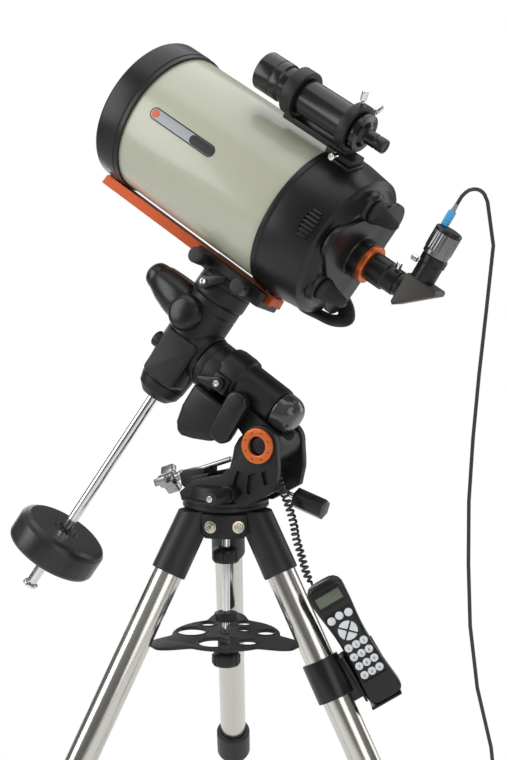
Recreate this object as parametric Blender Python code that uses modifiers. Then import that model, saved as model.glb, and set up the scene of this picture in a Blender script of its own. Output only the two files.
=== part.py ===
"""Schmidt-Cassegrain telescope on a German equatorial mount and a field tripod.

World frame: +Z up, floor at Z = 0, -X towards the celestial pole (north), origin at the bottom centre
of the object's box. Lengths are in metres. Every moving piece hangs on an empty or an origin that lies
on its own axis.
"""
import math

import bmesh
import bpy
from mathutils import Vector

# ---------------------------------------------------------------- driving dimensions
TRIPOD_X = -0.0650            # tripod axis, measured from the middle of the object's box
HEAD_TOP = 0.735              # top face of the tripod head
LEG_ANGLE = math.radians(28.4)
LEG_TUBE_R = 0.02225
LEG_AZIMUTHS = (0.0, 120.0, 240.0)
HINGE_R = 0.050               # leg hinge, out from the tripod axis
HINGE_Z = 0.712
TRAY_Z = 0.535                # top face of the accessory tray
LATITUDE = math.radians(32.3)
HOUR_ANGLE = math.radians(11.5)
CROSS_X = -0.062              # where the two equatorial axes cross, from the tripod axis
CROSS_Z = 0.989
TUBE_HEIGHT = 0.250           # optical axis above the crossing, along the declination axis
PIVOT_X = 0.085               # latitude pivot, from the tripod axis
PIVOT_Z = 0.838
PLATE_IN = 0.033              # inner face of the fork plates
PLATE_OUT = 0.045             # outer face of the fork plates
TUBE_R = 0.115                # optical tube, outside
TUBE_WALL = 0.0015
CELL_R = 0.1195               # front and rear cells, outside
TUBE_REAR = -0.047            # where the tube enters the rear cell, along the optical axis
TUBE_FRONT = 0.236            # where it enters the front cell
RIM_FRONT = 0.286             # front edge of the front cell
CELL_BACK = -0.147            # flat back of the rear cell
BAR_TOP = -0.1202             # dovetail bar, top face, from the optical axis
BAR_BOTTOM = -0.1357
FINDER_ANGLE = math.radians(30.0)
FINDER_OFFSET = 0.170         # finder axis from the optical axis
DIAGONAL_X = -0.258           # middle of the diagonal, along the optical axis
CAMERA_TOP = 0.1060           # end of the camera, from the middle of the diagonal
SHAFT_R = 0.0085
WEIGHT_R = 0.075
WEIGHT_MID = -0.393           # middle of the counterweight, along the declination axis
USB_R = 0.00275               # camera cable, radius
CURLY_R = 0.0062              # curly cord, outer radius of its helix
GAP = 0.0003                  # clearance between neighbouring solids

ALONG_X = (0.0, math.pi / 2, 0.0)
ALONG_Y = (-math.pi / 2, 0.0, 0.0)
ORIGIN = (0.0, 0.0, 0.0)

FINISHES = {                  # base colour, roughness, metallic
    "black_paint": ((0.018, 0.018, 0.020, 1), 0.42, 0.0),
    "black_plastic": ((0.022, 0.022, 0.024, 1), 0.50, 0.0),
    "rubber": ((0.020, 0.020, 0.021, 1), 0.75, 0.0),
    "cream": ((0.55, 0.56, 0.44, 1), 0.16, 0.0),
    "orange": ((0.62, 0.13, 0.025, 1), 0.35, 0.6),
    "steel": ((0.70, 0.69, 0.66, 1), 0.16, 1.0),
    "chrome": ((0.80, 0.80, 0.80, 1), 0.08, 1.0),
    "glass": ((0.85, 0.92, 0.90, 1), 0.03, 0.0),
    "mirror": ((0.90, 0.91, 0.92, 1), 0.03, 1.0),
    "grey_plastic": ((0.20, 0.20, 0.21, 1), 0.40, 0.0),
    "blue_plastic": ((0.05, 0.32, 0.62, 1), 0.35, 0.0),
}

for stale in list(bpy.data.objects):
    bpy.data.objects.remove(stale, do_unlink=True)


def collection(name):
    made = bpy.data.collections.new(name)
    bpy.context.scene.collection.children.link(made)
    return made


PARTS = collection("schmidt_cassegrain_telescope")
CUTTERS = collection("cutters")
GUIDES = collection("guides")


def material(finish):
    made = bpy.data.materials.get(finish)
    if made is None:
        colour, roughness, metallic = FINISHES[finish]
        made = bpy.data.materials.new(finish)
        made.use_nodes = True
        shader = made.node_tree.nodes["Principled BSDF"]
        shader.inputs["Base Color"].default_value = colour
        shader.inputs["Roughness"].default_value = roughness
        shader.inputs["Metallic"].default_value = metallic
    return made


def place(obj, parent, location, rotation):
    obj.parent = parent
    obj.location = location
    obj.rotation_euler = rotation


def empty(name, parent, location=ORIGIN, rotation=ORIGIN):
    made = bpy.data.objects.new(name, None)
    made.empty_display_size = 0.05
    GUIDES.objects.link(made)
    place(made, parent, location, rotation)
    return made


def add_mesh(name, finish, parent, location, rotation, mesh):
    made = bpy.data.objects.new(name, mesh)
    PARTS.objects.link(made)
    made.data.materials.append(material(finish))
    place(made, parent, location, rotation)
    return made


def turned(name, finish, profile, parent, location=ORIGIN, rotation=ORIGIN, steps=24, ring=False):
    """A solid turned about its own Z axis; profile is (radius, height), down the outer side."""
    mesh = bpy.data.meshes.new(name)
    count = len(profile)
    edges = [(i, i + 1) for i in range(count - 1)]
    if ring:
        edges.append((count - 1, 0))
    mesh.from_pydata([(radius, 0.0, height) for radius, height in profile], edges, [])
    made = add_mesh(name, finish, parent, location, rotation, mesh)
    screw = made.modifiers.new("turn", "SCREW")
    screw.axis = "Z"
    screw.steps = steps
    screw.render_steps = steps
    screw.use_merge_vertices = True
    screw.merge_threshold = 0.00002
    screw.use_smooth_shade = True
    return made


def rod(name, finish, radius, low, high, parent, location=ORIGIN, rotation=ORIGIN, steps=18, chamfer=0.0):
    """A plain solid cylinder along its Z axis, with chamfered ends if asked."""
    if chamfer:
        profile = [(0, high), (radius - chamfer, high), (radius, high - chamfer),
                   (radius, low + chamfer), (radius - chamfer, low), (0, low)]
    else:
        profile = [(0, high), (radius, high), (radius, low), (0, low)]
    return turned(name, finish, profile, parent, location, rotation, steps)


def sleeve(name, finish, outer, inner, low, high, parent, location=ORIGIN, rotation=ORIGIN, steps=24,
           chamfer=0.0):
    """A tube with a through bore along its Z axis."""
    profile = [(outer - chamfer, high), (outer, high - chamfer), (outer, low + chamfer),
               (outer - chamfer, low), (inner, low), (inner, high)]
    if not chamfer:
        profile = [(outer, high), (outer, low), (inner, low), (inner, high)]
    return turned(name, finish, profile, parent, location, rotation, steps, ring=True)


def block(name, finish, size, parent, location=ORIGIN, rotation=ORIGIN, edge=0.0, segments=2):
    """A box of the given size, its edges rounded."""
    shape = bmesh.new()
    bmesh.ops.create_cube(shape, size=1.0)
    bmesh.ops.scale(shape, vec=size, verts=shape.verts)
    mesh = bpy.data.meshes.new(name)
    shape.to_mesh(mesh)
    shape.free()
    made = add_mesh(name, finish, parent, location, rotation, mesh)
    if edge:
        rounding = made.modifiers.new("edge", "BEVEL")
        rounding.width = edge
        rounding.segments = segments
        rounding.limit_method = "ANGLE"
    return made


def arc(centre, radius, start, end, steps):
    """Points on a circle's arc, angles in degrees."""
    points = []
    for i in range(steps + 1):
        angle = math.radians(start + (end - start) * i / steps)
        points.append((centre[0] + radius * math.cos(angle), centre[1] + radius * math.sin(angle)))
    return points


def plate(name, finish, outlines, thickness, parent, location=ORIGIN, rotation=ORIGIN):
    """A flat outline, with holes as further outlines, extruded about its middle along its Z axis."""
    curve = bpy.data.curves.new(name, "CURVE")
    curve.dimensions = "2D"
    curve.fill_mode = "BOTH"
    curve.extrude = thickness / 2
    for outline in outlines:
        spline = curve.splines.new("POLY")
        spline.points.add(len(outline) - 1)
        for point, (x, y) in zip(spline.points, outline):
            point.co = (x, y, 0.0, 1.0)
        spline.use_cyclic_u = True
    return from_curve(name, finish, curve, parent, location, rotation)


def from_curve(name, finish, curve, parent, location, rotation):
    """Turns a filled or bevelled curve into one closed mesh object."""
    guide = bpy.data.objects.new(name + "_curve", curve)
    GUIDES.objects.link(guide)
    bpy.context.view_layer.update()
    evaluated = guide.evaluated_get(bpy.context.evaluated_depsgraph_get())
    mesh = bpy.data.meshes.new_from_object(evaluated)
    mesh.materials.clear()
    shape = bmesh.new()
    shape.from_mesh(mesh)
    bmesh.ops.remove_doubles(shape, verts=shape.verts, dist=0.00001)
    bmesh.ops.recalc_face_normals(shape, faces=shape.faces)
    shape.to_mesh(mesh)
    shape.free()
    bpy.data.objects.remove(guide, do_unlink=True)
    return add_mesh(name, finish, parent, location, rotation, mesh)


def wire(name, finish, points, radius, parent=None, resolution=2):
    """A tube along a list of points."""
    curve = bpy.data.curves.new(name, "CURVE")
    curve.dimensions = "3D"
    curve.bevel_depth = radius
    curve.bevel_resolution = resolution
    curve.use_fill_caps = True
    spline = curve.splines.new("POLY")
    spline.points.add(len(points) - 1)
    for point, place_at in zip(spline.points, points):
        point.co = (*place_at, 1.0)
    curve.materials.append(material(finish))
    made = bpy.data.objects.new(name, curve)
    PARTS.objects.link(made)
    made.parent = parent
    return made


def combine(target, other, operation="UNION"):
    """Joins other to target, or cuts it out of target."""
    modifier = target.modifiers.new(operation.lower(), "BOOLEAN")
    modifier.operation = operation
    modifier.object = other
    for owner in list(other.users_collection):
        owner.objects.unlink(other)
    CUTTERS.objects.link(other)
    other.hide_render = True
    other.display_type = "WIRE"
    return target


def cut(target, other):
    return combine(target, other, "DIFFERENCE")


def smooth_route(points, spacing):
    """A Catmull-Rom curve through the points, read off at an even spacing."""
    knots = [Vector(p) for p in points]
    knots = [2 * knots[0] - knots[1]] + knots + [2 * knots[-1] - knots[-2]]
    fine = []
    for i in range(1, len(knots) - 2):
        a, b, c, d = knots[i - 1:i + 3]
        for k in range(24):
            u = k / 24
            fine.append(0.5 * (2 * b + (c - a) * u + (2 * a - 5 * b + 4 * c - d) * u * u
                               + (3 * b - a - 3 * c + d) * u ** 3))
    fine.append(knots[-2])
    lengths = [0.0]
    for before, after in zip(fine, fine[1:]):
        lengths.append(lengths[-1] + (after - before).length)
    count = max(2, round(lengths[-1] / spacing))
    route = []
    j = 0
    for i in range(count + 1):
        want = lengths[-1] * i / count
        while j < len(fine) - 2 and lengths[j + 1] < want:
            j += 1
        share = (want - lengths[j]) / max(lengths[j + 1] - lengths[j], 1e-9)
        route.append(tuple(fine[j].lerp(fine[j + 1], min(share, 1.0))))
    return route


# ---------------------------------------------------------------- frames on the moving axes
tripod = empty("tripod_axis", None, (TRIPOD_X, 0, 0))
azimuth = empty("azimuth_axis", tripod, (0, 0, 0), (0, 0, math.pi))
polar = empty("polar_axis", azimuth, (-CROSS_X, 0, CROSS_Z), (0, -LATITUDE, 0))
declination = empty("declination_axis", polar, ORIGIN, (HOUR_ANGLE, 0, 0))
optical = empty("optical_axis", declination, (0, 0, TUBE_HEIGHT))
# In the last three frames +X runs along the optical axis towards the sky, +Z away from the counterweight.


# ---------------------------------------------------------------- tripod
def leg_axis_radius(height):
    """Distance of a leg's centre line from the tripod axis at a height."""
    return -0.006 + (0.834 - height) * math.tan(LEG_ANGLE)


def tripod_head():
    head = turned("tripod_head", "black_paint",
                  [(0.060, HEAD_TOP - GAP), (0.062, HEAD_TOP - 0.002), (0.062, 0.700), (0.056, 0.694),
                   (0.0070, 0.694), (0.0070, HEAD_TOP - GAP)],
                  tripod, steps=42, ring=True)
    for azimuth_deg in LEG_AZIMUTHS:
        angle = math.radians(azimuth_deg)
        reach = 0.022 + 0.040
        slot = block("slot_%03d" % azimuth_deg, "black_paint", (0.080, 0.0550, 0.080), tripod,
                     (reach * math.cos(angle), reach * math.sin(angle), 0.715), (0, 0, angle))
        cut(head, slot)
    return head


CLAMP_MID = 0.530                # middle of a leg's lower clamp, down the leg from the hinge's level


def leg(index, azimuth_deg):
    """One telescoping leg; its own frame has +Z down the leg from the hinge's level."""
    angle = math.radians(azimuth_deg)
    hinge = empty("leg_hinge_%d" % index, tripod,
                  (HINGE_R * math.cos(angle), HINGE_R * math.sin(angle), HINGE_Z), (0, 0, angle))
    start_r = leg_axis_radius(HINGE_Z) - HINGE_R
    down = empty("leg_line_%d" % index, hinge, (start_r, 0, 0), (0, math.pi - LEG_ANGLE, 0))
    # sleeve: its top is trimmed under the mount's base
    top = rod("leg_sleeve_%d" % index, "black_plastic", 0.0262, -0.045, 0.0795, down, steps=22)
    lid = block("sleeve_trim_%d" % index, "black_plastic", (0.20, 0.10, 0.10), hinge,
                (0.0, 0, HEAD_TOP - 0.0012 - HINGE_Z + 0.05))
    core_side = block("sleeve_side_%d" % index, "black_plastic", (0.10, 0.10, 0.20), hinge,
                      (-0.0260 - 0.05, 0, 0))
    slope = block("sleeve_slope_%d" % index, "black_plastic", (0.20, 0.10, 0.10), hinge,
                  (-0.020, 0, 0.0755), (0, -math.radians(14.0), 0))
    socket = rod("sleeve_socket_%d" % index, "black_plastic", LEG_TUBE_R + GAP, 0.030, 0.2, down, steps=22)
    for shape in (lid, core_side, slope, socket):
        cut(top, shape)
    # outer tube with its lower clamp collar, bored for the inner leg
    tube = turned("leg_tube_%d" % index, "steel",
                  [(LEG_TUBE_R, 0.0305), (LEG_TUBE_R, CLAMP_MID - 0.027), (0.0285, CLAMP_MID - 0.025),
                   (0.0295, CLAMP_MID - 0.019), (0.0295, CLAMP_MID + 0.020), (0.0275, CLAMP_MID + 0.025),
                   (0.0198, CLAMP_MID + 0.025), (0.0198, 0.0305)][::-1],
                  down, steps=22, ring=True)
    boss = block("clamp_boss_%d" % index, "steel", (0.022, 0.024, 0.030), down,
                 (-0.0355, 0, CLAMP_MID), edge=0.003)
    bore = rod("clamp_bore_%d" % index, "steel", 0.0198, 0.40, 0.64, down, steps=22)
    cut(boss, bore)
    combine(tube, boss)
    turned("leg_lock_knob_%d" % index, "black_plastic",
           [(0, 0.024), (0.011, 0.024), (0.014, 0.021), (0.014, 0.007), (0.007, 0.004), (0.007, 0.0),
            (0, 0.0)],
           down, (-0.0465 - GAP, 0, CLAMP_MID), (0, -math.pi / 2, 0), steps=12)
    # inner leg down to its rubber foot; the foot's sole is flat on the floor
    foot_end = (HINGE_Z / math.cos(LEG_ANGLE))
    inner = turned("inner_leg_%d" % index, "steel",
                   [(0, 0.240), (0.0194, 0.240), (0.0194, foot_end - 0.075), (0.0225, foot_end - 0.070),
                    (0.0225, foot_end + 0.020), (0, foot_end + 0.020)][::-1],
                   down, steps=22)
    floor = block("foot_floor_%d" % index, "rubber", (0.30, 0.20, 0.10), hinge, (0.38, 0, -HINGE_Z - 0.05))
    cut(inner, floor)


def center_rod():
    """Threaded rod under the head with the hand knob that clamps the mount."""
    turned("center_rod", "chrome",
           [(0, 0.725), (0.0060, 0.725), (0.0060, 0.672), (0.0185, 0.668), (0.0215, 0.664),
            (0.0215, 0.652), (0.0190, 0.648), (0.0060, 0.646), (0.0060, 0.484), (0, 0.484)],
           tripod, steps=18)


TRAY_HOLES = (                # distance out, direction in degrees, radius
    (0.0555, -164.0, 0.0240),
    (0.0500, -79.0, 0.0250),
    (0.0560, -22.0, 0.0160),
    (0.0620, 38.0, 0.0160),
    (0.0360, 72.0, 0.0120),
    (0.0660, 97.0, 0.0140),
    (0.0640, 149.0, 0.0140),
)


def tray_radius(direction):
    """Rim of the tray: a disc with one wing towards each leg."""
    nearest = min(abs((direction - wing + 180.0) % 360.0 - 180.0) for wing in LEG_AZIMUTHS)
    share = min(max((26.0 - nearest) / (26.0 - 5.2), 0.0), 1.0)
    return 0.0835 + (0.1260 - 0.0835) * share * share * (3 - 2 * share)


def accessory_tray():
    rim = []
    for step in range(72):
        direction = step * 5.0
        reach = tray_radius(direction)
        rim.append((reach * math.cos(math.radians(direction)), reach * math.sin(math.radians(direction))))
    outlines = [rim, arc((0, 0), 0.0066, 0, 340, 17)]
    for reach, direction, radius in TRAY_HOLES:
        middle = (reach * math.cos(math.radians(direction)), reach * math.sin(math.radians(direction)))
        outlines.append(arc(middle, radius, 0, 340, 17))
    plate("accessory_tray", "black_plastic", outlines, 0.0045, tripod, (0, 0, TRAY_Z - 0.00225))


def tray_knob():
    sleeve("tray_knob", "black_plastic", 0.0225, 0.0063, 0.486, 0.505, tripod, steps=18, chamfer=0.003)
    collar = sleeve("tray_knob_collar", "black_plastic", 0.0130, 0.0063, 0.500, TRAY_Z - 0.0048, tripod,
                    steps=18)
    combine(bpy.data.objects["tray_knob"], collar)


# ---------------------------------------------------------------- mount
def mount_base():
    """Azimuth base, two fork plates and the webs that take the latitude bolts (frame: azimuth axis)."""
    base = turned("mount_base", "black_paint",
                  [(0, 0.772), (0.050, 0.772), (0.056, 0.768), (0.058, 0.752), (0.066, 0.750),
                   (0.066, 0.738), (0.064, HEAD_TOP), (0, HEAD_TOP)],
                  azimuth, steps=36)
    pivot = (-PIVOT_X, PIVOT_Z)
    fork = [(0.052, 0.745), (0.056, 0.758), (0.030, 0.778), (-0.020, 0.790), (-0.040, 0.806),
            (-0.048, 0.826)]
    fork += arc(pivot, 0.0365, 5, 180, 14)
    fork += [(-0.1215, 0.800), (-0.108, 0.772), (-0.062, 0.745)]
    for side in (-1, 1):
        middle = side * (PLATE_IN + PLATE_OUT) / 2
        cheek = plate("fork_plate_%d" % side, "black_paint", [fork], PLATE_OUT - PLATE_IN, azimuth,
                      (0, middle, 0), (math.pi / 2, 0, 0))
        combine(base, cheek)
        bore = rod("pivot_bore_%d" % side, "black_paint", 0.0100, -0.02, 0.02, azimuth,
                   (-PIVOT_X, middle, PIVOT_Z), ALONG_Y, steps=18)
        cut(base, bore)
    front_web = [(0.012, 0.760), (0.060, 0.760), (0.086, 0.768), (0.088, 0.779), (0.076, 0.786),
                 (0.030, 0.797), (0.012, 0.797)]
    combine(base, plate("front_web", "black_paint", [front_web], 2 * PLATE_IN + 0.006, azimuth, ORIGIN,
                        (math.pi / 2, 0, 0)))
    rear_web = [(-0.058, 0.760), (-0.078, 0.762), (-0.0870, 0.772), (-0.0870, 0.796), (-0.066, 0.796)]
    combine(base, plate("rear_web", "black_paint", [rear_web], 2 * PLATE_IN + 0.006, azimuth, ORIGIN,
                        (math.pi / 2, 0, 0)))
    for name, bolt in (("front_bolt_bore", FRONT_BOLT), ("rear_bolt_bore", REAR_BOLT)):
        location, rotation = bolt
        cut(base, rod(name, "black_paint", 0.0046, -0.2, 0.2, azimuth, location, rotation, steps=12))
    for side in (-1, 1):
        boss = rod("azimuth_boss_%d" % side, "black_paint", 0.0125, 0.030, 0.0565, azimuth,
                   (-0.037, 0, 0.7635), (side * math.pi / 2, 0, 0), steps=14)
        combine(base, boss)
    port = block("handset_port", "black_paint", (0.0200, 0.0200, 0.0200), azimuth, (-0.0762, 0.0125, 0.7965),
                 edge=0.0015)
    combine(base, port)
    return base


# latitude bolts: a point on each bolt and the turn that lays local Z along it, pointing outwards
FRONT_BOLT = ((0.088, 0, 0.7735), (0, math.radians(90 + 19.4), 0))
REAR_BOLT = ((-0.112, 0, 0.7625), (0, math.radians(-90 - 17.0), 0))


def adjusters():
    """Azimuth knobs and latitude bolts."""
    for side, name in ((1, "azimuth_knob_near"), (-1, "azimuth_knob_far")):
        turned(name, "black_plastic",
               [(0, 0.048), (0.0080, 0.048), (0.0105, 0.0455), (0.0105, 0.004), (0.0065, 0.0), (0, 0.0)],
               azimuth, (-0.037, side * (0.0565 + GAP), 0.7635), (-side * math.pi / 2, 0, 0), steps=14)
    location, rotation = FRONT_BOLT
    front = turned("altitude_bolt_front", "chrome",
                   [(0, 0.040), (0.010, 0.040), (0.012, 0.036), (0.012, 0.014), (0.0042, 0.008),
                    (0.0042, -0.104), (0, -0.104)],
                   azimuth, location, rotation, steps=12)
    for turn in range(3):
        angle = math.radians(90 + 120 * turn)
        wing = block("front_wing_%d" % turn, "chrome", (0.017, 0.009, 0.020), azimuth, location, rotation,
                     edge=0.002)
        wing.parent = front_frame
        wing.location = (0.0165 * math.cos(angle), 0.0165 * math.sin(angle), 0.026)
        wing.rotation_euler = (0, 0, angle)
        combine(front, wing)
    location, rotation = REAR_BOLT
    rear = turned("altitude_bolt_rear", "black_paint",
                  [(0, 0.014), (0.0080, 0.014), (0.0080, 0.010), (0.0042, 0.008),
                   (0.0042, -0.032), (0, -0.032)],
                  azimuth, location, rotation, steps=12)
    grip = block("rear_grip", "black_paint", (0.0270, 0.0180, 0.0480), rear_frame, (0, 0, 0.0365), ORIGIN,
                 edge=0.005, segments=1)
    combine(rear, grip)
    sleeve("altitude_pivot_ring", "orange", 0.0262, 0.0142, PLATE_OUT + GAP, PLATE_OUT + 0.0055, azimuth,
           (-PIVOT_X, 0, PIVOT_Z), ALONG_Y, steps=30, chamfer=0.0012)


front_frame = empty("front_bolt_axis", azimuth, *FRONT_BOLT)
rear_frame = empty("rear_bolt_axis", azimuth, *REAR_BOLT)


def ra_housing():
    """Polar axis body with its worm drum and the lug that hangs on the latitude pivot."""
    body = turned("ra_housing", "black_paint",
                  [(0.0300, -0.0760), (0.0345, -0.0800), (0.0360, -0.1120), (0.0310, -0.1200),
                   (0.0310, -0.1860), (0.0240, -0.1860), (0.0240, -0.0760)],
                  polar, ORIGIN, ALONG_X, steps=30, ring=True)
    drum = turned("worm_drum", "black_paint",
                  [(0, -0.0465), (0.0390, -0.0465), (0.0405, -0.0480), (0.0405, -0.0850), (0.0340, -0.0920),
                   (0, -0.0920)],
                  polar, (0, 0, -0.0120), ALONG_X, steps=30)
    combine(body, drum)
    lug = [(-0.125, -0.020), (-0.186, -0.020)]
    lug += [(-0.205 + 0.028 * math.cos(math.radians(a)), -0.049 + 0.028 * math.sin(math.radians(a)))
            for a in range(120, 331, 15)]
    lug += [(-0.150, -0.052), (-0.128, -0.034)]
    web = plate("latitude_lug", "black_paint", [lug], 2 * (PLATE_IN - 0.0012), polar, ORIGIN, (math.pi / 2, 0, 0))
    combine(body, web)
    cut(body, rod("cap_clearance", "black_paint", 0.0305, -0.2700, -0.1862, polar, ORIGIN, ALONG_X, steps=24))
    bore = rod("polar_bore", "black_paint", 0.0240, -0.1870, -0.1400, polar, ORIGIN, ALONG_X, steps=24)
    cut(body, bore)
    pad = block("clutch_pad", "black_paint", (0.030, 0.0136, 0.026), polar, (-0.098, 0.0347, -0.012), edge=0.002)
    combine(body, pad)
    return body


def ra_fittings():
    """Covers, clutch lever and cap on the polar axis body (frame: polar axis)."""
    block("electronics_case", "black_plastic", (0.074, 0.066, 0.0640), polar, (-0.0960, 0.0060, -0.0870),
          (0, 0, 0), edge=0.014, segments=3)
    case = bpy.data.objects["electronics_case"]
    clear_drum = turned("drum_clearance", "black_paint",
                        [(0, -0.03), (0.0410, -0.03), (0.0410, -0.150), (0, -0.150)],
                        polar, (0, 0, -0.0120), ALONG_X, steps=30)
    cut(case, clear_drum)
    block("ra_motor_cover", "black_plastic", (0.0440, 0.0180, 0.0840), polar, (-0.1440, 0.0462, -0.0430),
          (0, 0, 0), edge=0.006, segments=3)
    turned("polar_scope_cap", "black_plastic",
           [(0, -0.2000), (0.0220, -0.1980), (0.0220, -0.1700), (0.0232, -0.1700), (0.0232, -0.1864),
            (0.0290, -0.1864), (0.0290, -0.2030), (0.0235, -0.2180), (0, -0.2215)],
           polar, ORIGIN, ALONG_X, steps=24)
    lever("ra_clutch_lever", polar, (-0.098, 0.0418, -0.012), 20.0)


def lever(name, parent, location, lean):
    """A clutch lever: a hub on its screw and a finger, turning about local Z."""
    frame = empty(name + "_axis", parent, location, (-math.pi / 2, math.radians(lean), 0))
    outline = arc((0, 0), 0.0105, 60, 300, 12)
    outline += [(0.020, -0.0060), (0.034, -0.0040), (0.036, 0.0), (0.034, 0.0045), (0.020, 0.0075)]
    plate(name, "black_plastic", [outline], 0.0070, frame, (0, 0, 0.0035))


def dec_housing():
    """Declination body: turns about the polar axis, carries the shaft and the declination drive."""
    body = turned("dec_housing", "black_paint",
                  [(0, 0.0720), (0.0405, 0.0720), (0.0420, 0.0705), (0.0420, -0.0300), (0.0400, -0.0500),
                   (0.0375, -0.0780), (0.0362, -0.0785), (0.0362, -0.0795), (0.0375, -0.0800),
                   (0.0335, -0.0950), (0.0225, -0.1065), (0.0088, -0.1075), (0.0088, -0.0900), (0, -0.0900)],
                  declination, steps=30)
    neck = turned("polar_neck", "black_paint",
                  [(0, 0.0), (0.0400, 0.0), (0.0400, -0.0440), (0.0385, -0.0462), (0, -0.0462)],
                  declination, (0, 0, -0.0080), ALONG_X, steps=30)
    combine(body, neck)
    return body


def dec_fittings():
    """Drive cover, head with saddle, clutch lever and clamp knobs (frame: declination axis)."""
    cover = turned("dec_motor_cover", "black_plastic",
                   [(0, 0.1230), (0.0090, 0.1215), (0.0165, 0.1160), (0.0200, 0.1070), (0.0305, 0.0560),
                    (0.0320, 0.0300), (0, 0.0300)],
                   declination, (0, 0.0060, 0.0400), (0, math.pi / 2 - 0.10, 0), steps=24)
    around = rod("housing_clearance", "black_plastic", 0.0420 + GAP, -0.10, 0.0723, declination, steps=30)
    above = block("head_clearance", "black_plastic", (0.14, 0.14, 0.05), declination, (0.02, 0, 0.0723 + 0.025))
    cut(cut(cover, around), above)
    head = turned("saddle", "black_paint",
                  [(0, 0.1135), (0.0400, 0.1135), (0.0440, 0.1080), (0.0440, 0.0760), (0.0425, 0.0723),
                   (0, 0.0723)],
                  declination, steps=30)
    top = block("saddle_block", "black_paint", (0.140, 0.074, 0.0250), declination, (-0.008, 0, 0.1165), edge=0.004)
    combine(head, top)
    channel = block("saddle_channel", "black_paint", (0.20, 0.0490, 0.030), declination,
                    (0, 0, 0.1140 + 0.015))
    cut(head, channel)
    lever("dec_clutch_lever", declination, (0.010, 0.0458, 0.0900), -141.0)
    for index, x in enumerate((0.038, -0.048)):
        turned("saddle_knob_%d" % (index + 1), "black_plastic",
               [(0, 0.0330), (0.0095, 0.0330), (0.0125, 0.0300), (0.0125, 0.0100), (0.0060, 0.0060),
                (0.0060, 0.0), (0, 0.0)],
               declination, (x, 0.0370 + GAP, 0.1165), (-math.pi / 2, 0, 0), steps=14)


def counterweight_group():
    """Shaft with its safety screw, the weight and its lock screw (frame: declination axis)."""
    turned("counterweight_shaft", "chrome",
           [(0, -0.0905), (SHAFT_R, -0.0905), (SHAFT_R, -0.4720), (0.0060, -0.4724), (0.0060, -0.4740),
            (0.0125, -0.4742), (0.0125, -0.4790), (0.0060, -0.4795), (0, -0.4795)],
           declination, steps=18)
    half = 0.026
    low, high = WEIGHT_MID - half, WEIGHT_MID + half
    turned("counterweight", "black_paint",
           [(0.0300, high), (0.0600, high), (0.0680, high - 0.002), (WEIGHT_R, high - 0.009),
            (WEIGHT_R, low + 0.009), (0.0680, low + 0.002), (0.0600, low), (SHAFT_R + 0.0004, low),
            (SHAFT_R + 0.0004, high)],
           declination, steps=36, ring=True)
    hole = rod("lock_screw_hole", "black_paint", 0.0053, 0.050, 0.10, declination, (0, 0, WEIGHT_MID + 0.006),
               (0, math.pi / 2, math.radians(-35.0)), steps=12)
    cut(bpy.data.objects["counterweight"], hole)
    turned("counterweight_lock_screw", "chrome",
           [(0, 0.0790), (0.0038, 0.0790), (0.0048, 0.0780), (0.0048, 0.0506), (0, 0.0506)],
           declination, (0, 0, WEIGHT_MID + 0.006), (0, math.pi / 2, math.radians(-35.0)), steps=12)


# ---------------------------------------------------------------- optical tube
def optical_tube():
    sleeve("optical_tube", "cream", TUBE_R, TUBE_R - TUBE_WALL, TUBE_REAR - 0.012, TUBE_FRONT + 0.012,
           optical, ORIGIN, ALONG_X, steps=44)
    turned("front_cell", "black_paint",
           [(0.1150, RIM_FRONT), (0.1180, RIM_FRONT - 0.002), (CELL_R, RIM_FRONT - 0.006),
            (CELL_R, TUBE_FRONT + 0.002), (CELL_R - 0.0015, TUBE_FRONT), (TUBE_R + GAP, TUBE_FRONT),
            (TUBE_R + GAP, TUBE_FRONT + 0.0125), (0.1000, TUBE_FRONT + 0.0125),
            (0.1000, RIM_FRONT - 0.0215), (0.1050, RIM_FRONT - 0.0215), (0.1050, RIM_FRONT - 0.012),
            (0.1120, RIM_FRONT - 0.006)],
           optical, ORIGIN, ALONG_X, steps=44, ring=True)
    sleeve("corrector_plate", "glass", 0.1046, 0.0290, RIM_FRONT - 0.0212, RIM_FRONT - 0.0160, optical,
           ORIGIN, ALONG_X, steps=36)
    turned("secondary_mirror_holder", "black_plastic",
           [(0, RIM_FRONT - 0.0010), (0.0300, RIM_FRONT - 0.0010), (0.0340, RIM_FRONT - 0.0050),
            (0.0340, RIM_FRONT - 0.0157), (0.0286, RIM_FRONT - 0.0157), (0.0286, RIM_FRONT - 0.0215),
            (0.0320, RIM_FRONT - 0.0215), (0.0320, RIM_FRONT - 0.0420), (0, RIM_FRONT - 0.0420)],
           optical, ORIGIN, ALONG_X, steps=24)
    sleeve("primary_mirror", "mirror", 0.1040, 0.0275, TUBE_REAR - 0.0200, TUBE_REAR + 0.0080, optical,
           ORIGIN, ALONG_X, steps=36)


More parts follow.
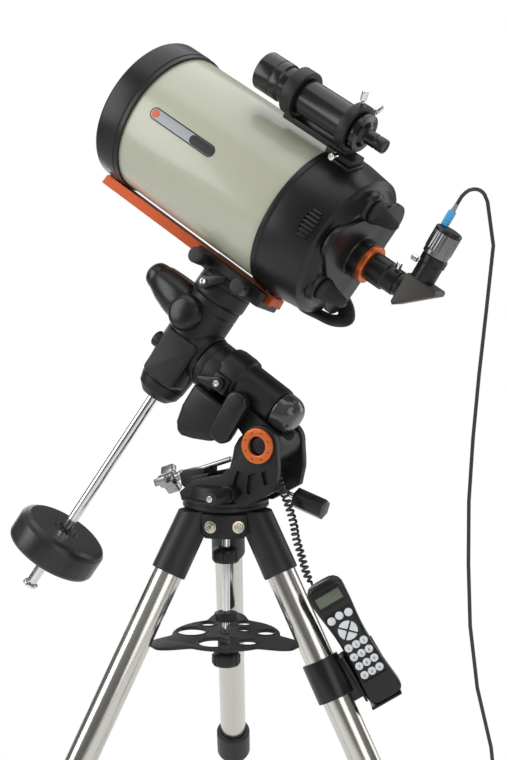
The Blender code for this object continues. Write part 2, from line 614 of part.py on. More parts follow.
def rear_cell():
    """Cast rear cell with the baffle tube, knob bosses, rear port and the grip at its lower edge."""
    back = CELL_BACK
    cell = turned("rear_cell", "black_paint",
                  [(TUBE_R + GAP, TUBE_REAR), (CELL_R - 0.001, TUBE_REAR), (CELL_R, TUBE_REAR - 0.001),
                   (0.1175, -0.0900), (0.1120, -0.1310), (0.1060, -0.1345), (0.0930, -0.1440),
                   (0.0870, back), (0.0310, back), (0.0310, -0.1700), (0.0190, -0.1700),
                   (0.0190, 0.0800), (0.0215, 0.0800), (0.0225, back + 0.0100), (0.0850, back + 0.0100),
                   (0.1060, -0.1200), (0.1100, TUBE_REAR - 0.0125), (TUBE_R + GAP, TUBE_REAR - 0.0125)],
                  optical, ORIGIN, ALONG_X, steps=44, ring=True)
    for direction in KNOB_DIRECTIONS:
        angle = math.radians(direction)
        location = (back, KNOB_REACH * math.sin(angle), KNOB_REACH * math.cos(angle))
        boss = turned("knob_boss_%d" % direction, "black_paint",
                      [(0, 0.0045), (0.0235, 0.0045), (0.0270, 0.0), (0.0270, -0.0080), (0, -0.0080)],
                      optical, location, (0, -math.pi / 2, 0), steps=22)
        combine(cell, boss)
    grip_points = []
    for x, direction, reach in ((-0.098, -169.0, 0.1070), (-0.108, -162.0, 0.1175), (-0.130, -155.0, 0.1195),
                                (-0.152, -150.0, 0.1200), (-0.163, -142.0, 0.1175), (-0.152, -135.0, 0.1130),
                                (-0.134, -131.0, 0.1060)):
        angle = math.radians(direction)
        grip_points.append((x, reach * math.sin(angle), reach * math.cos(angle)))
    grip_curve = bpy.data.curves.new("carry_grip", "CURVE")
    grip_curve.dimensions = "3D"
    grip_curve.bevel_depth = 0.0085
    grip_curve.bevel_resolution = 1
    grip_curve.use_fill_caps = True
    spline = grip_curve.splines.new("POLY")
    route = smooth_route(grip_points, 0.016)
    spline.points.add(len(route) - 1)
    for point, place_at in zip(spline.points, route):
        point.co = (*place_at, 1.0)
    combine(cell, from_curve("carry_grip", "black_paint", grip_curve, optical, ORIGIN, ORIGIN))
    shoe = block("finder_shoe", "black_paint", (0.040, 0.038, 0.010), finder, (-0.0800, 0, -0.0545), edge=0.002)
    combine(cell, shoe)
    return cell


KNOB_DIRECTIONS = (30.0, 150.0, 270.0)
KNOB_REACH = 0.0760
KNOB_NAMES = ("mirror_lock_knob_1", "focus_knob", "mirror_lock_knob_2")


def rear_knobs():
    """Cone shaped rubber knobs on the back of the cell."""
    for name, direction in zip(KNOB_NAMES, KNOB_DIRECTIONS):
        angle = math.radians(direction)
        location = (CELL_BACK - 0.0045 - GAP, KNOB_REACH * math.sin(angle), KNOB_REACH * math.cos(angle))
        turned(name, "rubber",
               [(0, 0.0420), (0.0050, 0.0415), (0.0078, 0.0380), (0.0150, 0.0120), (0.0185, 0.0080),
                (0.0195, 0.0040), (0.0195, 0.0), (0, 0.0)],
               optical, location, (0, -math.pi / 2, 0), steps=18)


def dovetail_bar():
    """Orange bar under both cells, with sloping sides (frame: optical axis)."""
    section = [(-0.0190, BAR_TOP), (0.0190, BAR_TOP), (0.0215, BAR_BOTTOM + 0.0010), (0.0205, BAR_BOTTOM),
               (-0.0205, BAR_BOTTOM), (-0.0215, BAR_BOTTOM + 0.0010)]
    length = 0.3650
    middle = 0.0960
    plate("dovetail_bar", "orange", [section], length, optical, (middle, 0, 0),
          (math.pi / 2, 0, math.pi / 2))


def visual_back():
    """Port ring, eyepiece adapter, star diagonal and camera (frame: optical axis)."""
    sleeve("visual_back_ring", "orange", 0.0300, 0.0165, -0.1800, -0.1700 - GAP, optical, ORIGIN, ALONG_X,
           steps=30, chamfer=0.0012)
    adapter = turned("visual_back", "black_paint",
                     [(0.0225, -0.1803), (0.0225, -0.2100), (0.0195, -0.2110), (0.0195, -0.2280),
                      (0.0160, -0.2280), (0.0160, -0.1725), (0.0162, -0.1725), (0.0162, -0.1803)],
                     optical, ORIGIN, ALONG_X, steps=24, ring=True)
    screw = rod("visual_back_screw", "chrome", 0.0030, 0.0180, 0.0330, optical, (-0.2200, 0, 0),
                (math.radians(-35.0), 0, 0), steps=10)
    combine(adapter, screw)


def diagonal_and_camera():
    """The diagonal's frame has +Z up the camera arm, which lies in the mount's meridian plane."""
    arm = empty("diagonal_axis", optical, (DIAGONAL_X, 0, 0), (-HOUR_ANGLE, 0, 0))
    prism = [(0.0200, -0.0225), (0.0200, 0.0240), (0.0185, 0.0255), (-0.0310, 0.0255), (-0.0335, 0.0230),
             (-0.0335, 0.0180), (0.0155, -0.0262)]
    body = plate("star_diagonal", "black_paint", [prism], 0.0360, arm, ORIGIN, (math.pi / 2, 0, 0))
    holder = turned("eyepiece_holder", "black_paint",
                    [(0, 0.0640), (0.0175, 0.0640), (0.0195, 0.0620), (0.0195, 0.0520), (0.0180, 0.0500),
                     (0.0180, 0.0250), (0, 0.0250)],
                    arm, (0.0010, 0, 0), ORIGIN, steps=22)
    nose = rod("diagonal_nose", "black_paint", 0.0157, 0.0190, 0.0560, arm, ORIGIN, ALONG_X, steps=18)
    screw = rod("holder_screw", "chrome", 0.0030, 0.0150, 0.0310, arm, (0.0010, 0, 0.0450),
                (math.radians(90.0), 0, math.radians(70.0)), steps=10)
    for piece in (holder, nose, screw):
        combine(body, piece)
    turned("camera_body", "steel",
           [(0, CAMERA_TOP), (0.0185, CAMERA_TOP), (0.0205, CAMERA_TOP - 0.0020), (0.0205, 0.0690),
            (0.0190, 0.0670), (0.0190, 0.0640 + GAP), (0, 0.0640 + GAP)],
           arm, (0.0030, 0, 0), ORIGIN, steps=24)
    plug = turned("usb_plug", "blue_plastic",
                  [(0, 0.0345), (0.0032, 0.0345), (0.0042, 0.0250), (0.0055, 0.0235), (0.0055, 0.0),
                   (0, 0.0)],
                  arm, (0.0140, 0.0, CAMERA_TOP + GAP), ORIGIN, steps=12)
    return arm, plug


finder = empty("finder_axis", optical, (0, FINDER_OFFSET * math.sin(FINDER_ANGLE),
                                        FINDER_OFFSET * math.cos(FINDER_ANGLE)), (-FINDER_ANGLE, 0, 0))


def finder_scope():
    """Finder tube and its two-ring bracket; +Z of the frame points away from the main tube."""
    turned("finder_scope", "black_paint",
           [(0, -0.1180), (0.0075, -0.1180), (0.0080, -0.0980), (0.0235, -0.0780), (0.0235, 0.0930),
            (0.0240, 0.0975), (0.0290, 0.0975), (0.0290, 0.0560), (0.0265, 0.0530), (0.0265, -0.0830),
            (0.0285, -0.0840), (0.0285, -0.0930), (0.0200, -0.0940), (0.0150, -0.0985), (0.0105, -0.1000),
            (0.0105, -0.1310), (0, -0.1310)],
           finder, ORIGIN, ALONG_X, steps=28)
    rings = sleeve("finder_bracket", "black_paint", 0.0360, 0.0268, 0.0175, 0.0385, finder, ORIGIN, ALONG_X,
                   steps=30, chamfer=0.001)
    rear = sleeve("rear_ring", "black_paint", 0.0360, 0.0268, -0.0820, -0.0660, finder, ORIGIN, ALONG_X,
                  steps=30, chamfer=0.001)
    rail = block("bracket_rail", "black_paint", (0.1200, 0.0240, 0.0100), finder, (-0.0220, 0, -0.0375),
                 edge=0.002)
    foot = block("bracket_foot", "black_paint", (0.0480, 0.0320, 0.0100), finder, (-0.0740, 0, -0.0440),
                 edge=0.002)
    for piece in (rear, rail, foot):
        combine(rings, piece)


# ---------------------------------------------------------------- hand control
HANDSET_MID = (0.2100, 0.0200, 0.5530)          # from the tripod axis
HANDSET_TURN = (math.radians(90.0), math.radians(0.0), math.radians(31.1))
HANDSET_LEAN = math.radians(30.5)


def hand_control():
    """Handset in its own frame: +Y up its length, +Z out of its face."""
    frame = empty("handset_frame", tripod, HANDSET_MID, HANDSET_TURN)
    face = empty("handset_face", frame, ORIGIN, (0, 0, HANDSET_LEAN))
    right = [(0.0175, 0.0990), (0.0255, 0.0940), (0.0285, 0.0850), (0.0265, 0.0550), (0.0225, 0.0200),
             (0.0215, -0.0100), (0.0245, -0.0600), (0.0270, -0.0850), (0.0240, -0.0950), (0.0150, -0.0990)]
    outline = right + [(-x, y) for x, y in reversed(right)]
    body = plate("handset", "black_plastic", [outline], 0.0270, face, (0, 0, 0.0))
    rounding = body.modifiers.new("edge", "BEVEL")
    rounding.width = 0.004
    rounding.segments = 2
    rounding.limit_method = "ANGLE"
    rounding.angle_limit = math.radians(50)
    well = block("key_well", "black_plastic", (0.0330, 0.1180, 0.0090), face, (0, -0.0180, 0.0135))
    cut(body, well)
    mat = block("handset_keypad", "grey_plastic", (0.0320, 0.1170, 0.0020), face, (0, -0.0180, 0.0118))
    for x, y, radius in key_places():
        key = rod("key_%d_%d" % (round(x * 1e4), round(y * 1e4)), "grey_plastic", radius, 0.0112, 0.0160,
                  face, (x, y, 0), steps=8)
        combine(mat, key)
    return face


def key_places():
    """Middle and radius of each key on the handset's face."""
    places = [(x, 0.0290, 0.0042) for x in (-0.0115, 0.0, 0.0115)]
    places += [(0.0, 0.0180, 0.0040), (0.0, 0.0020, 0.0040), (-0.0090, 0.0100, 0.0040), (0.0090, 0.0100, 0.0040)]
    for row in range(4):
        places += [(x, -0.0150 - 0.0145 * row, 0.0043) for x in (-0.0112, 0.0, 0.0112)]
    return places


def handset_holder(face):
    """Clamp round one leg with the cradle that carries the handset (frame: handset face)."""
    cradle = block("handset_holder", "black_plastic", (0.0620, 0.0760, 0.0310), face, (0, -0.0500, -0.0030),
                   edge=0.002)
    room = block("cradle_room", "black_plastic", (0.0720, 0.1500, 0.0400), face, (0.0080, -0.0248, 0.0060))
    cut(cradle, room)
    low = block("cradle_stop", "black_plastic", (0.0600, 0.0040, 0.0300), face, (0, -0.1015, -0.0030))
    combine(cradle, low)
    floor_plate = block("cradle_back", "black_plastic", (0.0560, 0.0900, 0.0040), face, (0, -0.0590, -0.0160))
    combine(cradle, floor_plate)
    leg_line = bpy.data.objects["leg_line_0"]
    clip = sleeve("leg_clip", "black_plastic", 0.0280, LEG_TUBE_R + GAP, 0.2180, 0.2780, leg_line, steps=22)
    combine(cradle, clip)
    arm = block("cradle_arm", "black_plastic", (0.0360, 0.0360, 0.0200), face, (-0.0450, -0.0280, -0.0030))
    hollow = rod("clip_hollow", "black_plastic", LEG_TUBE_R + GAP, 0.10, 0.40, leg_line, steps=22)
    cut(arm, hollow)
    combine(cradle, arm)
    return cradle


# ---------------------------------------------------------------- cords
USB_ROUTE = (                 # from the tripod axis
    (0.3507, 0.0498, 1.1852), (0.3577, 0.0505, 1.1958), (0.3660, 0.0565, 1.2040), (0.3755, 0.0650, 1.2048),
    (0.3835, 0.0703, 1.1970), (0.3888, 0.0738, 1.1780), (0.3928, 0.0768, 1.1460), (0.3945, 0.0780, 1.1120),
    (0.3923, 0.0765, 1.0800), (0.3873, 0.0735, 1.0400), (0.3818, 0.0700, 0.9950), (0.3773, 0.0675, 0.9100),
    (0.3713, 0.0640, 0.8300), (0.3688, 0.0622, 0.7360), (0.3713, 0.0637, 0.6200), (0.3763, 0.0667, 0.5360),
    (0.3853, 0.0720, 0.4820), (0.3958, 0.0780, 0.4400), (0.4030, 0.0890, 0.3700), (0.4040, 0.1075, 0.2800),
    (0.4035, 0.1180, 0.1800), (0.3980, 0.1300, 0.0900), (0.3850, 0.1440, 0.0320), (0.3620, 0.1560, 0.0090),
    (0.3420, 0.1640, 0.0036), (0.3280, 0.1760, 0.0032), (0.3231, 0.1930, 0.0032), (0.3229, 0.2080, 0.0032),
)
COIL_MID = (0.2800, 0.2050, 0.0)
COIL_MEAN_R = 0.0310
COIL_HALF = 0.0085


def cords():
    route = smooth_route([(x + TRIPOD_X, y, z) for x, y, z in USB_ROUTE], 0.0165)
    wire("usb_cable", "black_plastic", route, USB_R)
    sleeve("usb_cable_coil", "black_plastic", COIL_MEAN_R + COIL_HALF, COIL_MEAN_R - COIL_HALF, 0.0003, 0.0168,
           None, (COIL_MID[0] + TRIPOD_X, COIL_MID[1], COIL_MID[2]), ORIGIN, steps=24, chamfer=0.002)
    block("usb_a_plug", "black_plastic", (0.0420, 0.0120, 0.0070), None,
          (COIL_MID[0] - 0.0470 + TRIPOD_X, COIL_MID[1] + 0.0367, 0.0041), ORIGIN, edge=0.0012)
    curly = smooth_route([(x + TRIPOD_X, y, z) for x, y, z in CURLY_ROUTE], 0.022)
    wire("curly_cord", "black_plastic", curly, CURLY_R)


CURLY_ROUTE = (               # from the tripod axis
    (0.0925, -0.0128, 0.7985), (0.0970, -0.0133, 0.7985), (0.1005, -0.0145, 0.7890), (0.1080, -0.0190, 0.7768),
    (0.1185, -0.0260, 0.7655), (0.1250, -0.0275, 0.7525), (0.1290, -0.0250, 0.7375), (0.1310, -0.0200, 0.7203),
    (0.1305, -0.0140, 0.7030), (0.1340, -0.0110, 0.6870), (0.1390, -0.0110, 0.6740), (0.1460, -0.0140, 0.6575),
    (0.1526, -0.0146, 0.6431), (0.1569, -0.0120, 0.6349),
)

tripod_head()
for number, direction_deg in enumerate(LEG_AZIMUTHS):
    leg(number, direction_deg)
center_rod()
accessory_tray()
tray_knob()
mount_base()
adjusters()
ra_housing()
ra_fittings()
dec_housing()
dec_fittings()
counterweight_group()
optical_tube()
rear_cell()
rear_knobs()
dovetail_bar()
visual_back()
diagonal_and_camera()
finder_scope()
handset_face = hand_control()
handset_holder(handset_face)
cords()
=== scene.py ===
"""Looks for the Schmidt-Cassegrain telescope: detailed pieces, materials, studio and camera."""
import math

import bmesh
import bpy
from mathutils import Matrix, Vector


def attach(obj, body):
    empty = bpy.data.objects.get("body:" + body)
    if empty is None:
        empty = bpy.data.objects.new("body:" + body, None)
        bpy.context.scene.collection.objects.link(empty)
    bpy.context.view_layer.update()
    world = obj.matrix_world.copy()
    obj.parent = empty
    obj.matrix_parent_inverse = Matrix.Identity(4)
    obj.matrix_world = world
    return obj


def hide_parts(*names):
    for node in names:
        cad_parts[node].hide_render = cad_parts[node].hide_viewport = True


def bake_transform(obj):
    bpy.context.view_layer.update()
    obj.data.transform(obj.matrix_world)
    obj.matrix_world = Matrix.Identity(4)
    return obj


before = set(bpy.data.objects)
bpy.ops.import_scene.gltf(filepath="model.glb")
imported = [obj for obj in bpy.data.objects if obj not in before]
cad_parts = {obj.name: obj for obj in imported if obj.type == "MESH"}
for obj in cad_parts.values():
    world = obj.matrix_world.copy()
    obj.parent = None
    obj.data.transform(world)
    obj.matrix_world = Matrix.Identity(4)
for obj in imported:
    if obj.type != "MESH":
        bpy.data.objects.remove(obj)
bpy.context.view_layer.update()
SCENE = bpy.context.scene


# ---------------------------------------------------------------- frames, as in the CAD
# Shapes and places are in millimetres, as a drawing has them, and MM turns them into scene units.
# Cords, camera and lights are in metres.
MM = 0.001


def shift(x, y, z):
    return Matrix.Translation((x * MM, y * MM, z * MM))


def turn(degrees, axis):
    return Matrix.Rotation(math.radians(degrees), 4, axis)


LATITUDE = 32.3
HOUR_ANGLE = 11.5
TRIPOD_X = -65
TRIPOD = shift(TRIPOD_X, 0, 0)
AZIMUTH = TRIPOD @ turn(180, "Z")
POLAR = AZIMUTH @ shift(62, 0, 989) @ turn(-LATITUDE, "Y")
DEC = POLAR @ turn(HOUR_ANGLE, "X")
OPTICAL = DEC @ shift(0, 0, 250)
FINDER_REACH, FINDER_SIDE = 170, 30
FINDER = OPTICAL @ turn(-FINDER_SIDE, "X") @ shift(0, 0, FINDER_REACH)
ARM = OPTICAL @ shift(-258, 0, 0) @ turn(-HOUR_ANGLE, "X")
HANDSET = TRIPOD @ shift(210, 20, 553) @ turn(31.1, "Z") @ turn(90, "X") @ turn(30.5, "Z")
ALONG_X = turn(90, "Y")
ALONG_Y = turn(-90, "X")
STANDING = turn(90, "X")  # a slab's outline, drawn in X and Z
LEG_ANGLE = 28.4
LEG_AZIMUTHS = (0.0, 120.0, 240.0)
LEG_TOP, LEG_APEX = 712, 834  # heights where the legs' hinges lie and where their centre lines would meet
# a body's name with the frame that most of its pieces are drawn in
ON_TRIPOD = ("tripod", TRIPOD)
ON_DEC = ("dec_body", DEC)
ON_POLAR = ("polar_body", POLAR @ ALONG_X)
ON_TUBE = ("optical", OPTICAL @ ALONG_X)
ON_FINDER = ("finder", FINDER @ ALONG_X)


def leg_frame(azimuth):
    """+Z down the leg's centre line from the hinge's level, -X outwards and up."""
    reach = (LEG_APEX - LEG_TOP) * math.tan(math.radians(LEG_ANGLE)) - 6
    return TRIPOD @ turn(azimuth, "Z") @ shift(reach, 0, LEG_TOP) @ turn(180 - LEG_ANGLE, "Y")


def hinge_frame(azimuth):
    return TRIPOD @ turn(azimuth, "Z") @ shift(50, 0, LEG_TOP)


# ---------------------------------------------------------------- materials
def feed(tree, target, **inputs):
    """Gives a shader node's inputs their values, or links them to another node's output."""
    for name, value in inputs.items():
        socket = target.inputs[name.replace("_", " ")]
        if isinstance(value, bpy.types.NodeSocket):
            tree.links.new(value, socket)
        else:
            socket.default_value = value


def node(tree, kind, output, **inputs):
    """The named output of a new shader node."""
    made = tree.nodes.new("ShaderNode" + kind)
    feed(tree, made, **inputs)
    return made.outputs[output]


def shaded(name):
    """A new material, its node tree and its shader."""
    made = bpy.data.materials.new(name)
    made.use_nodes = True
    return made, made.node_tree, made.node_tree.nodes["Principled BSDF"]


def colour_ramp(tree, low, high, start, end, **inputs):
    """The colour between low and high that the factor picks."""
    ramp = node(tree, "ValToRGB", "Color", **inputs)
    for element, place, colour in zip(ramp.node.color_ramp.elements, (start, end), (low, high)):
        element.position, element.color = place, (*colour, 1)
    return ramp


def material(name, colour, roughness, metallic=0.0, coat=0.0, mottle=(60, 0.05), grain=(900, 0.02),
        rough_var=0.05, stretch=(1.0, 1.0, 1.0), coat_rough=0.05, specular=0.5):
    """A surface with uneven colour, uneven gloss and a fine relief, all from object coordinates."""
    made, tree, shader = shaded(name)
    spread = node(tree, "Mapping", "Vector", Vector=node(tree, "TexCoord", "Object"), Scale=stretch)
    cloud = node(tree, "TexNoise", "Fac", Vector=spread, Scale=mottle[0], Detail=6.0, Roughness=0.65)
    fine = node(tree, "TexNoise", "Fac", Vector=spread, Scale=grain[0], Detail=3.0)
    low, high = ([min(c * (1 + share), 1.0) for c in colour] for share in (-mottle[1], mottle[1]))
    feed(tree, shader, Metallic=metallic, Specular_IOR_Level=specular, Coat_Weight=coat,
        Coat_Roughness=coat_rough, Base_Color=colour_ramp(tree, low, high, 0.3, 0.7, Fac=cloud),
        Roughness=node(tree, "MapRange", "Result", Value=cloud, To_Min=max(roughness - rough_var, 0.02),
        To_Max=min(roughness + rough_var, 1.0)), Normal=node(tree, "Bump", "Normal",
        Strength=min(grain[1] * 4, 1.0), Distance=0.0002, Height=fine))
    return made


PAINT = material("satin_black_paint", (0.0085, 0.008, 0.0082), 0.34, mottle=(30, 0.2), grain=(700, 0.06),
    rough_var=0.06, specular=0.38)
CAST = material("textured_black_casting", (0.0105, 0.01, 0.0102), 0.42, mottle=(40, 0.25),
    grain=(520, 0.16), rough_var=0.07, specular=0.38)
PLASTIC = material("moulded_black_plastic", (0.021, 0.02, 0.0205), 0.44, mottle=(25, 0.15),
    grain=(1300, 0.08), specular=0.4)
SMOOTH_PLASTIC = material("smooth_black_plastic", (0.011, 0.0105, 0.011), 0.28, mottle=(25, 0.12),
    specular=0.42)
RUBBER = material("black_rubber", (0.012, 0.0115, 0.012), 0.55, mottle=(50, 0.2), grain=(1500, 0.15))
CREAM = material("pearl_tube_paint", (0.49, 0.5, 0.385), 0.34, coat=0.45, mottle=(260, 0.035),
    grain=(1400, 0.01), rough_var=0.03, coat_rough=0.13)
ORANGE = material("orange_anodised", (0.74, 0.165, 0.045), 0.34, metallic=0.75, mottle=(18, 0.1),
    grain=(800, 0.05), stretch=(1, 12, 12))
BAR_ORANGE = material("orange_bar", (0.52, 0.085, 0.018), 0.42, metallic=0.5, mottle=(18, 0.1),
    grain=(800, 0.05), stretch=(1, 12, 12))
DIAGONAL_GREY = material("diagonal_housing", (0.045, 0.04, 0.033), 0.42, mottle=(30, 0.15),
    grain=(900, 0.08))
WEIGHT_PAINT = material("weight_paint", (0.018, 0.018, 0.019), 0.3, mottle=(40, 0.2), grain=(420, 0.2))
STEEL = material("polished_steel_tube", (0.66, 0.645, 0.6), 0.2, metallic=1.0, mottle=(14, 0.05),
    grain=(420, 0.03), stretch=(1, 1, 0.03), rough_var=0.06)
CHROME = material("bright_chrome", (0.78, 0.78, 0.78), 0.1, metallic=1.0, mottle=(12, 0.05),
    grain=(300, 0.01), rough_var=0.03)
MACHINED = material("machined_steel", (0.4, 0.39, 0.38), 0.28, metallic=1.0, mottle=(40, 0.08),
    grain=(600, 0.06), rough_var=0.08)
BRASSY = material("zinc_plated_screws", (0.7, 0.64, 0.5), 0.24, metallic=1.0, mottle=(60, 0.08),
    grain=(500, 0.03))
RELIEF = material("grey_strain_relief", (0.3, 0.31, 0.33), 0.45, mottle=(40, 0.08), grain=(900, 0.04))
CAMERA_GREY = material("camera_grey_metal", (0.2, 0.2, 0.205), 0.24, metallic=0.9, mottle=(30, 0.1),
    grain=(700, 0.05))
BLUE = material("blue_plug_plastic", (0.07, 0.42, 0.78), 0.38, mottle=(30, 0.08), grain=(900, 0.03))
KEYS = material("pale_backlit_keys", (0.82, 0.85, 0.88), 0.35, mottle=(60, 0.08))
LCD = material("liquid_crystal_panel", (0.115, 0.145, 0.095), 0.22, coat=0.6, mottle=(30, 0.08),
    grain=(900, 0.01))
INK = material("dark_print", (0.004, 0.004, 0.004), 0.34, mottle=(60, 0.1))
SILVER = material("silver_badge", (0.34, 0.36, 0.39), 0.4, metallic=0.4)
ORANGE_PRINT = material("orange_print", (0.72, 0.13, 0.02), 0.35)
MIRROR = material("aluminised_mirror", (0.88, 0.89, 0.9), 0.03, metallic=1.0, mottle=(8, 0.01),
    grain=(200, 0.0), rough_var=0.01)
SMOKED = material("smoked_cap", (0.045, 0.042, 0.042), 0.14, coat=0.5, mottle=(20, 0.1), grain=(500, 0.01))
GLOSS_PAINT = material("gloss_black_paint", (0.0075, 0.0072, 0.0074), 0.2, mottle=(30, 0.15),
    grain=(700, 0.02), rough_var=0.04)
CORD = material("cord_sheath", (0.03, 0.03, 0.032), 0.38, mottle=(60, 0.12), grain=(1500, 0.05))


def glass(name, tint):
    """Clear, with slightly uneven gloss."""
    made, tree, shader = shaded(name)
    smear = node(tree, "TexNoise", "Fac", Scale=30.0)
    feed(tree, shader, Base_Color=(*tint, 1), Transmission_Weight=0.92, IOR=1.5, Roughness=node(tree,
        "MapRange", "Result", Value=smear, To_Min=0.01, To_Max=0.04))
    return made


CORRECTOR_GLASS = glass("coated_corrector_glass", (0.86, 0.93, 0.9))
LENS_GLASS = glass("coated_lens_glass", (0.45, 0.4, 0.62))


# ---------------------------------------------------------------- shapes
def placed(name, data):
    """A new object in the scene."""
    made = bpy.data.objects.new(name, data)
    SCENE.collection.objects.link(made)
    return made


def finished(shape, name):
    """The mesh of a bmesh, which ends there."""
    mesh = bpy.data.meshes.new(name)
    shape.to_mesh(mesh)
    shape.free()
    return mesh


def soften(mesh):
    """Smooth shading with the true corners kept sharp."""
    shape = bmesh.new()
    shape.from_mesh(mesh)
    limit = math.radians(38)
    for face in shape.faces:
        face.smooth = True
    for edge in shape.edges:
        edge.smooth = len(edge.link_faces) == 2 and edge.calc_face_angle(0.0) < limit
    shape.to_mesh(mesh)
    shape.free()


def add(name, mesh, finish, body, place, replaces=()):
    """A finished piece that rides on a CAD body."""
    soften(mesh)
    made = placed(name, mesh)
    made.matrix_world = place
    mesh.materials.clear()
    mesh.materials.append(finish)
    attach(made, body)
    if replaces:
        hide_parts(*replaces)
    return made


def rounded(profile, radius, closed=False, steps=3):
    """The outline with its corners eased by short curves."""
    if radius <= 0:
        return list(profile)
    count = len(profile)
    out = []
    for i, point in enumerate(profile):
        here = Vector(point)
        if not closed and i in (0, count - 1):
            out.append(tuple(here))
            continue
        before, after = Vector(profile[i - 1]), Vector(profile[(i + 1) % count])
        to_before, to_after = before - here, after - here
        if to_before.length < 1e-3 or to_after.length < 1e-3:
            continue
        bend = math.pi - to_before.angle(to_after)
        if bend < math.radians(12):
            out.append(tuple(here))
            continue
        reach = min(radius * math.tan(bend / 2), 0.42 * to_before.length, 0.42 * to_after.length)
        start = here + to_before.normalized() * reach
        end = here + to_after.normalized() * reach
        for k in range(steps + 1):
            u = k / steps
            out.append(tuple(start * (1 - u) ** 2 + here * 2 * u * (1 - u) + end * u * u))
    return out


def lathe_mesh(name, profile, steps=96, closed=False, fillet=0.6, flute=None):
    """A solid turned about +Z from (radius, height) points. When closed is True the profile's ends join,
    when it is False they run in to the axis, and when it is None they stay as they are.
    flute = (count, depth, low, high) presses grooves into a height range."""
    profile = list(profile)
    if closed is False:
        if profile[0][0] > 0:
            profile.insert(0, (0, profile[0][1]))
        if profile[-1][0] > 0:
            profile.append((0, profile[-1][1]))
    shape = bmesh.new()
    rings = []
    for radius, height in rounded(profile, fillet, closed):
        if radius < 1e-3:
            rings.append([shape.verts.new((0, 0, height * MM))])
            continue
        ring = []
        for i in range(steps):
            angle = 2 * math.pi * i / steps
            reach = radius
            if flute and flute[2] <= height <= flute[3]:
                reach -= flute[1] * (0.5 - 0.5 * math.cos(flute[0] * angle)) ** 1.5
            ring.append(shape.verts.new(Vector((reach * math.cos(angle), reach * math.sin(angle),
                height)) * MM))
        rings.append(ring)
    pairs = list(zip(rings, rings[1:]))
    if closed:
        pairs.append((rings[-1], rings[0]))
    for upper, lower in pairs:
        for i in range(steps):
            j = (i + 1) % steps
            corners = []
            for vertex in (upper[i % len(upper)], upper[j % len(upper)], lower[j % len(lower)],
                    lower[i % len(lower)]):
                if vertex not in corners:
                    corners.append(vertex)
            if len(corners) > 2:
                shape.faces.new(corners)
    bmesh.ops.recalc_face_normals(shape, faces=shape.faces)
    return finished(shape, name)


def lathe(name, profile, finish, body, place, replaces=(), **turning):
    return add(name, lathe_mesh(name, profile, **turning), finish, body, place, replaces)


def rod(name, radius, low, high, finish, body, place, replaces=(), steps=48, **turning):
    return lathe(name, [(radius, high), (radius, low)], finish, body, place, replaces, steps=steps,
        **turning)


def sleeve(name, outer, inner, low, high, finish, body, place, replaces=(), **turning):
    return lathe(name, [(outer, high), (outer, low), (inner, low), (inner, high)], finish, body, place,
        replaces, closed=True, **turning)


def box_mesh(name, size, edge=1, segments=3, corner=0, corner_axis=2):
    """A box with eased edges; corner rounds the four edges along one axis more."""
    shape = bmesh.new()
    bmesh.ops.create_cube(shape, size=1.0)
    bmesh.ops.scale(shape, vec=Vector(size) * MM, verts=shape.verts)
    if corner:
        upright = [e for e in shape.edges
            if abs((e.verts[0].co - e.verts[1].co).normalized()[corner_axis]) > 0.8]
        bmesh.ops.bevel(shape, geom=upright, offset=corner * MM, segments=6, profile=0.5, affect="EDGES")
    if edge:
        sharp = [e for e in shape.edges if e.calc_face_angle(0.0) > math.radians(40)]
        bmesh.ops.bevel(shape, geom=sharp, offset=edge * MM, segments=segments, profile=0.5, affect="EDGES",
            clamp_overlap=True)
    return finished(shape, name)


def box(name, size, finish, body, place, replaces=(), **edges):
    return add(name, box_mesh(name, size, **edges), finish, body, place, replaces)


def spot(radius, degrees, centre=(0, 0)):
    """The point at that distance and direction from the centre."""
    angle = math.radians(degrees)
    return centre[0] + radius * math.cos(angle), centre[1] + radius * math.sin(angle)


def arc(centre, radius, start, end, steps):
    return [spot(radius, start + (end - start) * i / steps, centre) for i in range(steps + 1)]


def raised(height, profile):
    """A profile drawn from another height."""
    return [(radius, height + z) for radius, z in profile]


def curve_mesh(curve):
    """The mesh of a curve, welded."""
    guide = placed("guide", curve)
    bpy.context.view_layer.update()
    mesh = bpy.data.meshes.new_from_object(guide.evaluated_get(bpy.context.evaluated_depsgraph_get()))
    bpy.data.objects.remove(guide, do_unlink=True)
    shape = bmesh.new()
    shape.from_mesh(mesh)
    bmesh.ops.remove_doubles(shape, verts=shape.verts, dist=0.000005)
    bmesh.ops.recalc_face_normals(shape, faces=shape.faces)
    shape.to_mesh(mesh)
    shape.free()
    return mesh


def slab_mesh(name, outlines, thickness, edge=0.6):
    """Flat outlines, extruded about their middle along +Z, with eased rims."""
    curve = bpy.data.curves.new(name, "CURVE")
    curve.dimensions = "2D"
    curve.fill_mode = "BOTH"
    curve.extrude = (thickness / 2 - edge) * MM
    curve.bevel_depth = edge * MM
    curve.bevel_resolution = 2
    curve.offset = -edge * MM
    for outline in outlines:
        spline = curve.splines.new("POLY")
        spline.points.add(len(outline) - 1)
        for point, (x, y) in zip(spline.points, outline):
            point.co = (x * MM, y * MM, 0.0, 1.0)
        spline.use_cyclic_u = True
    return curve_mesh(curve)


def slab(name, outlines, thickness, finish, body, place, replaces=(), edge=0.6):
    return add(name, slab_mesh(name, outlines, thickness, edge), finish, body, place, replaces)


